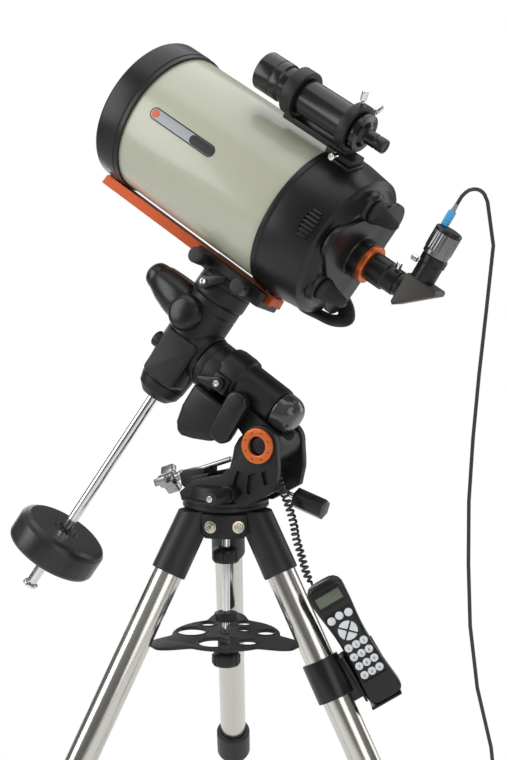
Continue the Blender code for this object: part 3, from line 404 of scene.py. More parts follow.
def smooth_route(points, spacing):
    """A Catmull-Rom curve through the points, read off at an even spacing."""
    knots = [Vector(p) for p in points]
    knots = [2 * knots[0] - knots[1]] + knots + [2 * knots[-1] - knots[-2]]
    fine = []
    for i in range(1, len(knots) - 2):
        a, b, c, d = knots[i - 1:i + 3]
        for k in range(24):
            u = k / 24
            fine.append(0.5 * (2 * b + (c - a) * u + (2 * a - 5 * b + 4 * c - d) * u * u
                + (3 * b - a - 3 * c + d) * u ** 3))
    fine.append(knots[-2])
    lengths = [0.0]
    for before, after in zip(fine, fine[1:]):
        lengths.append(lengths[-1] + (after - before).length)
    count = max(2, round(lengths[-1] / spacing))
    route = []
    j = 0
    for i in range(count + 1):
        want = lengths[-1] * i / count
        while j < len(fine) - 2 and lengths[j + 1] < want:
            j += 1
        share = (want - lengths[j]) / max(lengths[j + 1] - lengths[j], 1e-9)
        route.append(tuple(fine[j].lerp(fine[j + 1], min(share, 1.0))))
    return route


def eased_route(points, bend, longest):
    """The same curve with a point only where it has turned by bend degrees or run for longest metres."""
    fine = [Vector(p) for p in smooth_route(points, 0.0015)]
    kept, heading = [fine[0]], (fine[1] - fine[0]).normalized()
    for before, here in zip(fine[1:], fine[2:]):
        now = (here - before).normalized()
        if heading.angle(now) > math.radians(bend) or (before - kept[-1]).length > longest:
            kept.append(before)
            heading = now
    return [tuple(p) for p in kept + [fine[-1]]]


def wire_curve(name, points, radius, resolution=4):
    curve = bpy.data.curves.new(name, "CURVE")
    curve.dimensions = "3D"
    curve.bevel_depth = radius
    curve.bevel_resolution = resolution
    curve.use_fill_caps = True
    spline = curve.splines.new("POLY")
    spline.points.add(len(points) - 1)
    for point, at in zip(spline.points, points):
        point.co = (*at, 1.0)
    spline.use_smooth = True
    return curve


def blade(name, points, wide, thin, finish, body, place):
    """A flattened bar along a route that bends round the local X axis; wide is measured along the wall."""
    shape = bmesh.new()
    rings = []
    for i, point in enumerate(points):
        here = Vector(point)
        ahead = (Vector(points[min(i + 1, len(points) - 1)]) - Vector(points[max(i - 1, 0)])).normalized()
        outwards = Vector((0, here.y, here.z)).normalized()
        outwards = (outwards - ahead * outwards.dot(ahead)).normalized()
        across = ahead.cross(outwards)
        rings.append([shape.verts.new((here + across * (wide * math.cos(a))
            + outwards * (thin * math.sin(a))) * MM) for a in (2 * math.pi * k / 32 for k in range(32))])
    for first, second in zip(rings, rings[1:]):
        for k in range(32):
            shape.faces.new((first[k], first[(k + 1) % 32], second[(k + 1) % 32], second[k]))
    shape.faces.new(rings[0])
    shape.faces.new(rings[-1])
    bmesh.ops.recalc_face_normals(shape, faces=shape.faces)
    return add(name, finished(shape, name), finish, body, place)


def carve(target, cutters):
    """Cuts other meshes, given in the target's own frame, out of it."""
    for mesh in cutters:
        cutter = placed("cutter", mesh)
        cutter.matrix_world = target.matrix_world
        modifier = target.modifiers.new("carve", "BOOLEAN")
        modifier.operation = "DIFFERENCE"
        modifier.solver = "EXACT"
        modifier.object = cutter
        bpy.context.view_layer.update()
        graph = bpy.context.evaluated_depsgraph_get()
        result = bpy.data.meshes.new_from_object(target.evaluated_get(graph))
        target.modifiers.clear()
        finish = target.data.materials[0]
        target.data = result
        result.materials.clear()
        result.materials.append(finish)
        bpy.data.objects.remove(cutter, do_unlink=True)
        soften(result)
    return target


def ease_edges(target, width, segments, sharpest):
    """Bevels the edges that carving left, where they turn by more than sharpest degrees."""
    edge = target.modifiers.new("edge", "BEVEL")
    edge.width, edge.segments, edge.limit_method = width * MM, segments, "ANGLE"
    edge.angle_limit = math.radians(sharpest)


def moved(mesh, matrix):
    mesh.transform(matrix)
    return mesh


def label(name, text, size, finish, body, place):
    """Generic digits as flat raised print."""
    curve = bpy.data.curves.new(name, "FONT")
    curve.body = text
    curve.size = size * MM
    curve.extrude = 0.00012
    curve.align_x = "CENTER"
    curve.align_y = "CENTER"
    return add(name, curve_mesh(curve), finish, body, place)


# ---------------------------------------------------------------- camera and studio
VIEW_AZIMUTH = math.radians(31.1)
VIEW_DROP = math.radians(4.5)
VIEW_DISTANCE = 1.88
VIEW_SIDE = 0.0423
VIEW_HEIGHT = 1.076
VIEW_LENS = 58.74


def camera():
    data = bpy.data.cameras.new("camera")
    data.lens = VIEW_LENS
    data.sensor_width = 36.0
    data.clip_end = 100.0
    made = placed("camera", data)
    right = Vector((math.cos(VIEW_AZIMUTH), math.sin(VIEW_AZIMUTH), 0))
    back = Vector((math.sin(VIEW_AZIMUTH), -math.cos(VIEW_AZIMUTH), 0))
    made.location = (right * VIEW_SIDE + back * VIEW_DISTANCE + Vector((TRIPOD_X * MM, 0, VIEW_HEIGHT)))
    forward = -back * math.cos(VIEW_DROP) - Vector((0, 0, math.sin(VIEW_DROP)))
    made.rotation_euler = forward.to_track_quat("-Z", "Y").to_euler()
    SCENE.camera = made


def area_light(name, location, aim, size, power):
    data = bpy.data.lights.new(name, "AREA")
    data.shape = "RECTANGLE"
    data.size, data.size_y = size
    data.energy = power
    made = placed(name, data)
    made.location = location
    made.rotation_euler = (Vector(aim) - Vector(location)).to_track_quat("-Z", "Y").to_euler()
    made.visible_camera = False


def studio():
    """White surroundings, a pale floor and five soft boxes."""
    world = bpy.data.worlds.new("studio")
    SCENE.world = world
    world.use_nodes = True
    tree = world.node_tree
    tree.nodes.clear()
    split = node(tree, "SeparateXYZ", "Z", Vector=node(tree, "TexCoord", "Generated"))
    sky = colour_ramp(tree, [0.1] * 3, [0.42] * 3, 0.0, 0.9, Fac=split)
    mix = node(tree, "MixShader", "Shader", Fac=node(tree, "LightPath", "Is Camera Ray"))
    tree.links.new(node(tree, "Background", "Background", Color=sky, Strength=1.0), mix.node.inputs[1])
    tree.links.new(node(tree, "Background", "Background", Color=(1, 1, 1, 1), Strength=1.0),
        mix.node.inputs[2])
    feed(tree, tree.nodes.new("ShaderNodeOutputWorld"), Surface=mix)
    area_light("key_left", (-2.0, -2.2, 2.2), (0, 0, 0.95), (1.7, 2.6), 48)
    area_light("fill_right", (2.6, -1.5, 1.5), (0, 0, 0.9), (1.8, 2.4), 20)
    area_light("top", (0.1, 0.2, 3.2), (0, 0, 0.9), (2.8, 2.8), 32)
    area_light("back_left", (-2.3, 1.6, 1.4), (0, 0, 0.8), (1.2, 2.2), 14)
    area_light("back_right", (1.6, 2.3, 1.4), (0, 0, 0.8), (1.2, 2.2), 14)
    mesh = bpy.data.meshes.new("floor")
    reach = 14.0
    mesh.from_pydata([(-reach, -reach, 0), (reach, -reach, 0), (reach, reach, 0), (-reach, reach, 0)], [],
        [(0, 1, 2, 3)])
    floor = placed("floor", mesh)
    floor.location.z = -0.0005
    pale = material("pale_floor", (0.8, 0.8, 0.8), 0.8, mottle=(2.0, 0.01), grain=(60, 0.01))
    tree = pale.node_tree
    glow = tree.nodes.new("ShaderNodeMath")
    glow.operation = "MULTIPLY_ADD"
    tree.links.new(node(tree, "LightPath", "Is Camera Ray"), glow.inputs[0])
    glow.inputs[1].default_value, glow.inputs[2].default_value = 0.6, 0.16
    feed(tree, tree.nodes["Principled BSDF"], Emission_Color=(1, 1, 1, 1),
        Emission_Strength=glow.outputs["Value"])
    mesh.materials.append(pale)
    floor.visible_camera = False  # or it would hide the foot of a leg let out past its rest length
    SCENE.view_settings.view_transform = "Standard"


# ---------------------------------------------------------------- cords
USB_ROUTE = (
    (0.3507, 0.0498, 1.1852), (0.3577, 0.0505, 1.1958), (0.366, 0.0565, 1.204), (0.3755, 0.065, 1.2048),
    (0.3835, 0.0703, 1.197), (0.3888, 0.0738, 1.178), (0.3928, 0.0768, 1.146), (0.3945, 0.078, 1.112),
    (0.3923, 0.0765, 1.08), (0.3873, 0.0735, 1.04), (0.3818, 0.07, 0.995), (0.3773, 0.0675, 0.91),
    (0.3713, 0.064, 0.83), (0.3688, 0.0622, 0.736), (0.3713, 0.0637, 0.62), (0.3763, 0.0667, 0.536),
    (0.3853, 0.072, 0.482), (0.3958, 0.078, 0.44), (0.403, 0.089, 0.37), (0.404, 0.1075, 0.28),
    (0.4035, 0.118, 0.18), (0.398, 0.13, 0.09), (0.385, 0.144, 0.032), (0.362, 0.156, 0.009),
    (0.342, 0.164, 0.0036), (0.328, 0.176, 0.0032), (0.32, 0.19, 0.0032),
)
COIL_MID = Vector((0.28, 0.205, 0.0))
USB_D = 0.0055
COIL_INSIDE, COIL_PITCH = 0.0253, 0.00575
STEP_OVER = 0.72  # share of a turn after which the cord moves over to its next place
COIL_TURNS = ((0, 2), (0, 1), (0, 0), (1, 0), (1, 1), (1, 2), (2, 1), (2, 2))  # layer, place outwards
CURLY_ROUTE = (
    (0.0925, -0.0128, 0.7985), (0.097, -0.0133, 0.7985), (0.1005, -0.0145, 0.789), (0.108, -0.019, 0.7768),
    (0.1185, -0.026, 0.7655), (0.125, -0.0275, 0.7525), (0.129, -0.025, 0.7375), (0.131, -0.02, 0.7203),
    (0.1305, -0.014, 0.703), (0.134, -0.011, 0.687), (0.139, -0.011, 0.674), (0.146, -0.014, 0.6575),
    (0.1526, -0.0146, 0.6431), (0.1569, -0.012, 0.6349),
)


def from_tripod(points):
    return [(x + TRIPOD_X * MM, y, z) for x, y, z in points]


def coil_points():
    """Turns laid beside and on each other, anticlockwise, ending on the far side heading to -X."""
    points = []
    per_turn = 16
    places = [(USB_D * 0.5 + 0.0003 + layer * USB_D,
        COIL_INSIDE + place * COIL_PITCH) for layer, place in COIL_TURNS]
    places.append(places[-1])
    total = len(COIL_TURNS) * per_turn
    for step in range(total + 4):
        whole, part = divmod(step, per_turn)
        part /= per_turn
        here, after = places[min(whole, len(places) - 1)], places[min(whole + 1, len(places) - 1)]
        ease = max(0.0, (part - STEP_OVER) / (1 - STEP_OVER))
        ease = ease * ease * (3 - 2 * ease)
        height = here[0] + (after[0] - here[0]) * ease
        radius = here[1] + (after[1] - here[1]) * ease
        angle = 2 * math.pi * step / per_turn
        points.append((COIL_MID.x + radius * math.cos(angle), COIL_MID.y + radius * math.sin(angle),
            height))
    last = points[-1]
    for k in range(1, 4):
        u = k / 3
        points.append((COIL_MID.x - 0.0255 * u, last[1] + 0.0003 * u,
            last[2] + (0.0044 - last[2]) * u * u * (3 - 2 * u)))
    return points


def cords():
    """The camera cable with its coil and far plug, and the curly cord."""
    route = eased_route(from_tripod(USB_ROUTE), bend=13.0, longest=0.09)
    points = route + from_tripod(coil_points())
    curve = wire_curve("camera_cable", points, USB_D / 2)
    curve.materials.append(CORD)
    cable = placed("camera_cable", curve)
    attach(cable, "tripod")
    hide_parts("usb_cable", "usb_cable_coil")
    far_end = TRIPOD @ Matrix.Translation(COIL_MID) @ shift(-47, 36.7, 4.1)
    plug = box("cable_far_plug", (42, 12, 7), PLASTIC, "tripod", far_end, ("usb_a_plug",), edge=1.4)
    tongue = box("cable_far_shell", (13, 11.8, 4.4), CHROME, "tripod", far_end @ shift(-15, 0, 0), edge=0.3)
    axis = smooth_route(from_tripod(CURLY_ROUTE), spacing=0.004)
    helix = []
    pitch, radius, wire_radius, fading, per_step = 0.008, 0.0046, 0.002, 0.012, 7
    total = sum((Vector(b) - Vector(a)).length for a, b in zip(axis, axis[1:]))
    normal = Vector((0, 1, 0))
    travelled = 0.0
    for i, here in enumerate(axis):
        here = Vector(here)
        ahead = Vector(axis[min(i + 1, len(axis) - 1)]) - Vector(axis[max(i - 1, 0)])
        ahead.normalize()
        normal = (normal - ahead * normal.dot(ahead)).normalized()
        side = ahead.cross(normal)
        step = total / (len(axis) - 1)
        for k in range(per_step):
            along = travelled + step * k / per_step
            if along > total:
                break
            fade = min(1.0, along / fading, (total - along) / fading)
            angle = 2 * math.pi * along / pitch
            helix.append(tuple(here + ahead * (along - travelled) + (normal * math.cos(angle)
                + side * math.sin(angle)) * radius * fade))
        travelled += step
    mesh = curve_mesh(wire_curve("curly_cord_helix", helix, wire_radius, resolution=2))
    soften(mesh)
    mesh.materials.clear()
    mesh.materials.append(CORD)
    curly = placed("curly_cord_helix", mesh)
    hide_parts("curly_cord")
    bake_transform(curly)


# ---------------------------------------------------------------- tripod
def tripod_head():
    head = lathe("tripod_hub", [(57.5, 734.5), (62, 730), (62, 701), (57, 694.2), (7, 694.2), (7, 734.5)],
        CAST, *ON_TRIPOD, ("tripod_head",), steps=120, closed=True, fillet=1.2)
    slots = [moved(box_mesh("slot", (80, 55, 80), 0),
        turn(a, "Z") @ shift(62, 0, 715)) for a in LEG_AZIMUTHS]
    carve(head, slots)
    ease_edges(head, 1.5, 3, 50)
    for azimuth in (60, 180, 300):
        for side in (-1, 1):
            place = TRIPOD @ turn(azimuth, "Z") @ shift(57.5, side * 20.5, 713)
            place = place @ turn(90, "Y") @ turn(side * -20, "X")
            lathe("hinge_washer", [(9.2, 1.6), (9.6, 0)], BRASSY, "tripod", place, steps=36, fillet=0.3)
            nut = lathe("hinge_nut", [(5.2, 6.2), (6.8, 5), (7, 1.4)], BRASSY, "tripod", place, steps=6,
                fillet=0)
            nut.data.shade_flat()
            rod("hinge_stud", 3, 6, 8.5, MACHINED, "tripod", place, steps=24, fillet=0.4)


def legs():
    """Collar, outer tube, clamp, lock knob, inner tube and foot of each leg."""
    for index, azimuth in enumerate(LEG_AZIMUTHS):
        place = leg_frame(azimuth)
        shell = lathe("leg_collar_%d" % index, [(26.2, -45), (26.6, 50), (26.8, 78), (25.5, 80), (22.8, 80),
            (22.8, 30)], PLASTIC, "tripod", place, ("leg_sleeve_%d" % index,), steps=80, fillet=1.2)
        to_leg = place.inverted() @ hinge_frame(azimuth)
        lid = moved(box_mesh("lid", (200, 100, 100), 0), to_leg @ shift(0, 0, 21.8 + 50))
        core = moved(box_mesh("core", (100, 100, 200), 0), to_leg @ shift(-76, 0, 0))
        slope = moved(box_mesh("slope", (200, 100, 100), 0), to_leg @ shift(-20, 0, 75.5) @ turn(-14, "Y"))
        carve(shell, [lid, core, slope])
        ease_edges(shell, 4, 4, 40)
        lathe("leg_outer_%d" % index, [(22.25, 30.6), (22.25, 502), (19.8, 502), (19.8, 30.6)], STEEL,
            "tripod", place, ("leg_tube_%d" % index,), closed=True, fillet=0.3)
        lathe("leg_clamp_%d" % index, [(22.35, 498), (27.5, 498.5), (29.5, 502), (29.5, 550), (27.5, 555),
            (19.8, 555), (19.8, 502.2), (22.35, 502.2)], PLASTIC, "tripod", place, closed=True, fillet=1.2,
            flute=(24, 0.8, 508, 544))
        box("leg_clamp_boss_%d" % index, (18, 24, 30), PLASTIC, "tripod", place @ shift(-37.2, 0, 530),
            edge=3)
        lathe("leg_lock_grip_%d" % index, [(10.5, 24), (14, 20.5), (14, 7.5), (7, 4), (7, 0), (0, 0)],
            PLASTIC, "leg_lock_%d" % index, place @ shift(-46.8, 0, 530) @ turn(-90, "Y"),
            ("leg_lock_knob_%d" % index,), steps=72, fillet=0.9, flute=(6, 2.2, 7, 20.6))
        end = LEG_TOP / math.cos(math.radians(LEG_ANGLE))
        lathe("leg_inner_%d" % index, [(19.4, 240), (19.4, end - 70)], STEEL, "foot_leg_%d" % index, place,
            ("inner_leg_%d" % index,), fillet=0.3)
        foot = lathe("leg_foot_%d" % index, raised(end, [(19.6, -75), (21.5, -74.5), (22.5, -70),
            (22.5, 20), (0, 20), (0, -69), (19.6, -69)]), RUBBER, "foot_leg_%d" % index, place, steps=72,
            closed=None, fillet=1, flute=(30, 0.8, end - 60, end - 20))
        floor = moved(box_mesh("below", (300, 200, 100), 0), to_leg @ shift(380, 0, -762))
        carve(foot, [floor])


TRAY_HOLES = (
    (55.5, -164.0, 24), (50, -79.0, 25), (56, -22.0, 16), (62, 38.0, 16),
    (36, 72.0, 12), (66, 97.0, 14), (64, 149.0, 14),
)


def tray_radius(direction):
    """The tray is round, with a wing that reaches out to each leg."""
    nearest = min(abs((direction - wing + 180.0) % 360.0 - 180.0) for wing in LEG_AZIMUTHS)
    share = min(max((26.0 - nearest) / (26.0 - 5.2), 0), 1.0)
    return 83.5 + (126 - 83.5) * share * share * (3 - 2 * share)


def tray():
    rim = [spot(tray_radius(step * 1.5), step * 1.5) for step in range(240)]
    outlines = [rim, arc((0, 0), 6.8, 0, 354, 59)]
    for reach, direction, radius in TRAY_HOLES:
        middle = spot(reach, direction)
        outlines.append(arc(middle, radius - 1, 0, 354, 59))
        ring = [(radius + 2.2, -0.2), (radius + 2.2, 1.2), (radius - 0.6, 1.2), (radius - 0.6, -4.5),
            (radius + 2.2, -4.5)]
        lathe("tray_hole_rim", ring, PLASTIC, "tripod", TRIPOD @ shift(middle[0], middle[1], 534.5),
            steps=60, closed=True, fillet=0.4)
    slab("tray_plate", outlines, 4.5, PLASTIC, "tripod", TRIPOD @ shift(0, 0, 532.75), ("accessory_tray",),
        edge=1)
    lathe("tray_grip", [(22.2, 502), (22.2, 489.5), (19.5, 486.2), (6.3, 486.2), (6.3, 530), (12.8, 530),
        (13, 506.5), (19, 505)], PLASTIC, "tray_nut", TRIPOD, ("tray_knob",), steps=144, closed=True,
        fillet=1, flute=(12, 2.2, 488, 503.5))
    lathe("spreader_nut", [(12, 570), (17.8, 568), (18.5, 566), (18.5, 560), (17.8, 557), (0, 556)],
        PLASTIC, "clamp_rod", TRIPOD, steps=144, fillet=0.8, flute=(12, 1.6, 557.5, 566.5))
    rod("clamp_rod_bar", 6, 484, 725, CHROME, "clamp_rod", TRIPOD, ("center_rod",))
    lathe("clamp_rod_grip", [(0, 672), (12, 671.5), (19, 668), (21.5, 663), (21.5, 652), (19, 648),
        (0, 647)], PLASTIC, "clamp_rod", TRIPOD, steps=144, fillet=1, flute=(12, 2, 650, 665))


# ---------------------------------------------------------------- mount
PIVOT = (-85, 838)
PLATE_MID = 39
PIVOT_FRAME = AZIMUTH @ shift(PIVOT[0], 0, PIVOT[1])
AZIMUTH_SCREWS = AZIMUTH @ shift(-37, 0, 763.5)
FORK_POCKETS = (
    ((-48, 799), (-60, 796), (-56, 764), (-41, 757.5), (-37.5, 760), (-41.1, 780)),
    ((-67, 793), (-79, 799), (-86, 777), (-68.8, 764), (-64, 766)),
    ((-89, 799), (-99, 803), (-103, 785), (-95, 779)),
)


def mount_base():
    """The azimuth base with its fork, webs, bosses, rings and knobs."""
    lathe("azimuth_base", [(48, 772.5), (54.5, 769), (56.5, 756), (57.5, 751.5), (64, 750), (66, 748),
        (66, 744), (64.8, 743.2), (64.8, 742), (66, 741.2), (66, 737.5), (64, 735.2)], CAST, "mount",
        AZIMUTH, ("mount_base",), steps=144, fillet=0.8)
    fork = [(52, 745), (56, 758), (30, 778), (-20, 790), (-40, 806), (-50, 822)]
    fork += arc(PIVOT, 30, -10, 185, 34)
    fork += [(-116.5, 812), (-116.5, 800), (-110, 772), (-62, 745)]
    hole = arc(PIVOT, 14, 0, 351, 39)
    for side in (-1, 1):
        place = AZIMUTH @ shift(0, side * PLATE_MID, 0) @ STANDING
        cheek = slab("fork_cheek_%s" % ("near" if side > 0 else "far"), [fork, hole], 12, CAST, "mount",
            place, edge=1.8)
        pockets = []
        for pocket in FORK_POCKETS:
            pockets.append(moved(slab_mesh("pocket", [rounded(pocket, 3, True)], 9, 0),
                shift(0, 0, -side * 6)))
        carve(cheek, pockets)
    front_web = [(12, 760), (44, 760), (50, 766), (46, 780), (12, 788)]
    nose = [(30, 757), (60, 757), (71, 764), (73, 781), (66, 787.5), (26, 793)]
    rear_web = [(-58, 760), (-78, 762), (-87, 772), (-87, 796), (-66, 796)]
    for name, outline, wide in (("front_web", front_web, 66), ("rear_web", rear_web, 66),
            ("bolt_block", nose, 38)):
        slab(name, [outline], wide, CAST, "mount", AZIMUTH @ STANDING, edge=2.6)
    horn = [(30, 762), (12, 783), (-18, 790), (-30, 801), (-34.5, 816), (-38, 833), (-46, 846), (-57, 856),
        (-70, 848), (-70, 762)]
    slab("fork_horn", [rounded(horn, 4, True)], 3.6, CAST, "mount", AZIMUTH @ shift(0, 35, 0) @ STANDING,
        edge=1)
    box("handset_socket", (20, 20, 20), PLASTIC, "mount", AZIMUTH @ shift(-76.2, 12.5, 796.5), edge=2)
    for side in (-1, 1):
        rod("azimuth_boss", 12.5, 30, 56.5, CAST, "mount", AZIMUTH_SCREWS @ turn(-side * 90, "X"),
            fillet=1.2)
    for side in (-1, 1):
        sleeve("latitude_ring_%s" % ("near" if side > 0 else "far"), 26.2, 14.2, 45.3, 50.5, ORANGE,
            "mount", PIVOT_FRAME @ turn(-side * 90, "X"), ("altitude_pivot_ring",) if side > 0 else (),
            fillet=1)
        for k in range(8):
            x, y = spot(20.5, 45 * k + 22.5)
            rod("ring_screw", 1.2, 49.8, 50.7, INK, "mount",
                PIVOT_FRAME @ turn(-side * 90, "X") @ shift(x, y, 0), steps=16, fillet=0.2)
    rod("pivot_pin", 13.6, -44, 44, PAINT, "mount", PIVOT_FRAME @ ALONG_Y, steps=64, fillet=2)
    for body, side, node in (("azimuth_knob_a", 1, "azimuth_knob_near"),
            ("azimuth_knob_b", -1, "azimuth_knob_far")):
        place = AZIMUTH_SCREWS @ shift(0, side * 56.8, 0) @ turn(-side * 90, "X")
        lathe(body + "_grip", [(7.5, 46), (10.5, 43), (10.5, 4.5), (7, 0.5)], PLASTIC, body, place, (node,),
            fillet=1.2, flute=(8, 1.6, 6, 43.2))
        lathe(body + "_cap", [(4.2, 47.8), (5, 47), (5, 45.5)], CHROME, body, place, steps=32, fillet=0.4)


FRONT_BOLT = AZIMUTH @ shift(88, 0, 773.5) @ turn(90 + 19.4, "Y")
REAR_BOLT = AZIMUTH @ shift(-112, 0, 762.5) @ turn(-90 - 17.0, "Y")


def latitude_bolts():
    body = "latitude_bolt_a"
    lathe("front_bolt_rod", [(8.5, 36), (11.5, 33), (12, 8), (9, 4.5), (6, 4), (6, -4), (8.5, -4.5),
        (8.5, -9.5), (4.2, -10), (4.2, -104)], MACHINED, body, FRONT_BOLT, ("altitude_bolt_front",),
        steps=64, fillet=1.2)
    for k in range(3):
        angle = 90 + 120 * k
        box("front_bolt_wing", (18, 12, 24), MACHINED, body,
            FRONT_BOLT @ turn(angle, "Z") @ shift(14.5, 0, 21), edge=2.4)
    body = "latitude_bolt_b"
    rod("rear_bolt_rod", 4.2, -32, 13.5, CHROME, body, REAR_BOLT, ("altitude_bolt_rear",))
    hexagon = [spot(16, 60 * k) for k in range(6)]
    slab("rear_bolt_grip", [rounded(hexagon, 1.6, True)], 50, SMOOTH_PLASTIC, body,
        REAR_BOLT @ shift(0, 0, 36.5), edge=1.8)


def polar_axis():
    """Everything that tilts with the latitude and holds the polar axis."""
    lathe("polar_barrel", [(30, -76), (34.5, -80), (36.2, -88), (36.2, -108), (35, -116), (31.2, -120),
        (31.2, -180), (30.5, -186.2), (24, -186.2), (24, -76)], CAST, *ON_POLAR, ("ra_housing",), steps=120,
        closed=True, fillet=1.2)
    lathe("worm_housing", [(37.5, -46.7), (40.5, -49.5), (40.5, -60), (39.6, -60.6), (39.6, -62.2),
        (40.5, -62.8), (40.5, -84.5), (34, -92)], CAST, "polar_body", POLAR @ shift(0, 0, -12) @ ALONG_X,
        steps=120, fillet=1)
    lug = [(-125, -20), (-186, -20)]
    lug += arc((-205, -49), 28, 120, 330, 30)
    lug += [(-150, -52), (-128, -34)]
    web = slab("latitude_lug", [lug], 63, CAST, "polar_body", POLAR @ STANDING, edge=2)
    cap_room = moved(lathe_mesh("room", [(30.5, -186.2), (30.5, -270)], 64, fillet=0), ALONG_Y @ ALONG_X)
    barrel_room = moved(lathe_mesh("room", [(29, -100), (29, -200)], 64, fillet=0), ALONG_Y @ ALONG_X)
    carve(web, [cap_room, barrel_room])
    box("clutch_pad", (30, 13.6, 26), CAST, "polar_body", POLAR @ shift(-98, 34.7, -12), edge=2)
    diamond = [(17, 0), (0, 11.5), (-17, 0), (0, -11.5)]
    slab("screw_plate", [rounded(diamond, 3, True)], 18, CAST, "polar_body",
        POLAR @ shift(-56, 29.8, -12) @ STANDING, edge=1.2)
    lathe("plate_screw", [(2.2, 0.6), (2.6, 2), (4.8, 2), (5.2, 1.2), (5.2, -1)], INK, "polar_body",
        POLAR @ shift(-56, 38.6, -12) @ ALONG_Y, steps=36, fillet=0.2)
    case = [(-60, -38), (-58, -80), (-62.5, -107), (-71, -118.5), (-81, -121), (-100, -113.5), (-125, -100),
        (-133, -94), (-133, -38)]
    slab("electronics_cover", [rounded(case, 7, True)], 66, SMOOTH_PLASTIC, "polar_body",
        POLAR @ shift(0, 6, 0) @ STANDING, ("electronics_case",), edge=5.5)
    box("drive_cover", (37, 85, 18), SMOOTH_PLASTIC, "polar_body",
        POLAR @ shift(-142.5, 46.2, -42) @ STANDING, ("ra_motor_cover",), edge=5.5, segments=6, corner=16)
    lathe("polar_cap_shell", [(0, -200), (22, -198), (22, -170), (23.2, -170), (23.2, -186.6), (28, -186.6),
        (29, -190), (29, -198), (28.6, -203), (27.4, -208), (25.2, -212.5), (22.2, -216.2), (18, -219),
        (13, -220.7), (7, -221.4), (0, -221.5)], SMOKED, "polar_cap", POLAR @ ALONG_X, ("polar_scope_cap",),
        fillet=1.6)
    clutch("ra_clutch", POLAR @ shift(-98, 41.8, -12) @ turn(20.0, "Y") @ ALONG_Y, "ra_clutch_lever")


def clutch(body, place, node):
    """Clutch lever with its screw; local +Z stands out of the housing."""
    outline = arc((0, 0), 10.5, 60, 300, 30)
    outline += [(20, -6), (34, -4), (36.2, -1), (36.2, 1), (34, 4.5), (20, 7.5)]
    slab(body + "_finger", [outline], 6.4, SMOOTH_PLASTIC, body, place @ shift(0, 0, 3.4), (node,),
        edge=1.6)
    lathe(body + "_screw", [(2, 8.6), (2.4, 9.8), (4.6, 9.8), (5.2, 9), (5.2, 6)], CHROME, body, place,
        steps=40, fillet=0.3)


def declination_axis():
    """The housing that turns about the polar axis, and the saddle head on it."""
    lathe("dec_barrel", [(40.5, 72), (42, 70.5), (42, 57), (41.2, 56.2), (41.2, 54.8), (42, 54), (42, -30),
        (40, -50), (37.5, -78), (36.2, -78.5), (36.2, -79.5), (37.5, -80), (33.5, -95), (22.5, -106.5),
        (8.8, -107.5), (8.8, -90)], CAST, *ON_DEC, ("dec_housing",), steps=144, fillet=1.2)
    lathe("side_dome", [(0, 57), (10, 56.6), (19, 54.5), (25, 51), (28, 46), (29, 40), (29, 20)],
        SMOOTH_PLASTIC, "dec_body", DEC @ shift(12, 0, 34) @ ALONG_Y, fillet=1)
    box("gear_case", (62, 40, 78), CAST, "dec_body", DEC @ shift(-8, 24, -36), edge=4, segments=4, corner=8,
        corner_axis=1)
    rod("side_plug", 13, 30, 46, CAST, "dec_body", DEC @ shift(0, 12, -30) @ ALONG_X, fillet=1.6)
    lathe("polar_neck", [(40, 0), (40, -40), (38.5, -46.2)], CAST, "dec_body",
        DEC @ shift(0, 0, -8) @ ALONG_X, steps=120, fillet=1.4)
    cover_profile = [(0, 123), (8, 122.4), (15, 119.6), (19.5, 114.5), (21.8, 107), (22.5, 101),
        (21.5, 100), (24, 98.5), (30, 80), (34, 56), (35, 30)]
    cover = lathe("dec_drive_cover", cover_profile, SMOOTH_PLASTIC, "dec_body",
        DEC @ shift(0, 6, 37) @ turn(90 - math.degrees(0.1), "Y"), ("dec_motor_cover",), fillet=4)
    inverse = cover.matrix_world.inverted()
    around = moved(lathe_mesh("room", [(42.3, 72.3), (42.3, -100)], 96, fillet=0), inverse @ DEC)
    above = moved(box_mesh("room", (140, 140, 50), 0), inverse @ DEC @ shift(20, 0, 96.5))
    carve(cover, [around, above])
    lathe("saddle_head", [(40, 113), (42.5, 110), (44, 106), (44, 98), (43.2, 97.4), (43.2, 96), (44, 95.4),
        (44, 76), (42.5, 72.3)], CAST, "saddle_head", DEC, ("saddle",), steps=144, fillet=1)
    block = box("saddle_jaws", (140, 74, 25), CAST, "saddle_head", DEC @ shift(-8, 0, 116.5), edge=3,
        segments=4, corner=8)
    carve(block, [moved(box_mesh("room", (200, 49, 30), 0), shift(8, 0, 12.5))])
    clutch("dec_clutch", DEC @ shift(10, 45.8, 90) @ turn(-141.0, "Y") @ ALONG_Y, "dec_clutch_lever")
    for body, x, node in (("saddle_knob_a", 38, "saddle_knob_1"), ("saddle_knob_b", -48, "saddle_knob_2")):
        lathe(body + "_grip", [(9.5, 33), (12.5, 30), (12.5, 10.5), (6, 6), (6, 0)], PLASTIC, body,
            DEC @ shift(x, 37.3, 116.5) @ ALONG_Y, (node,), fillet=1, flute=(8, 1.8, 12, 30.2))


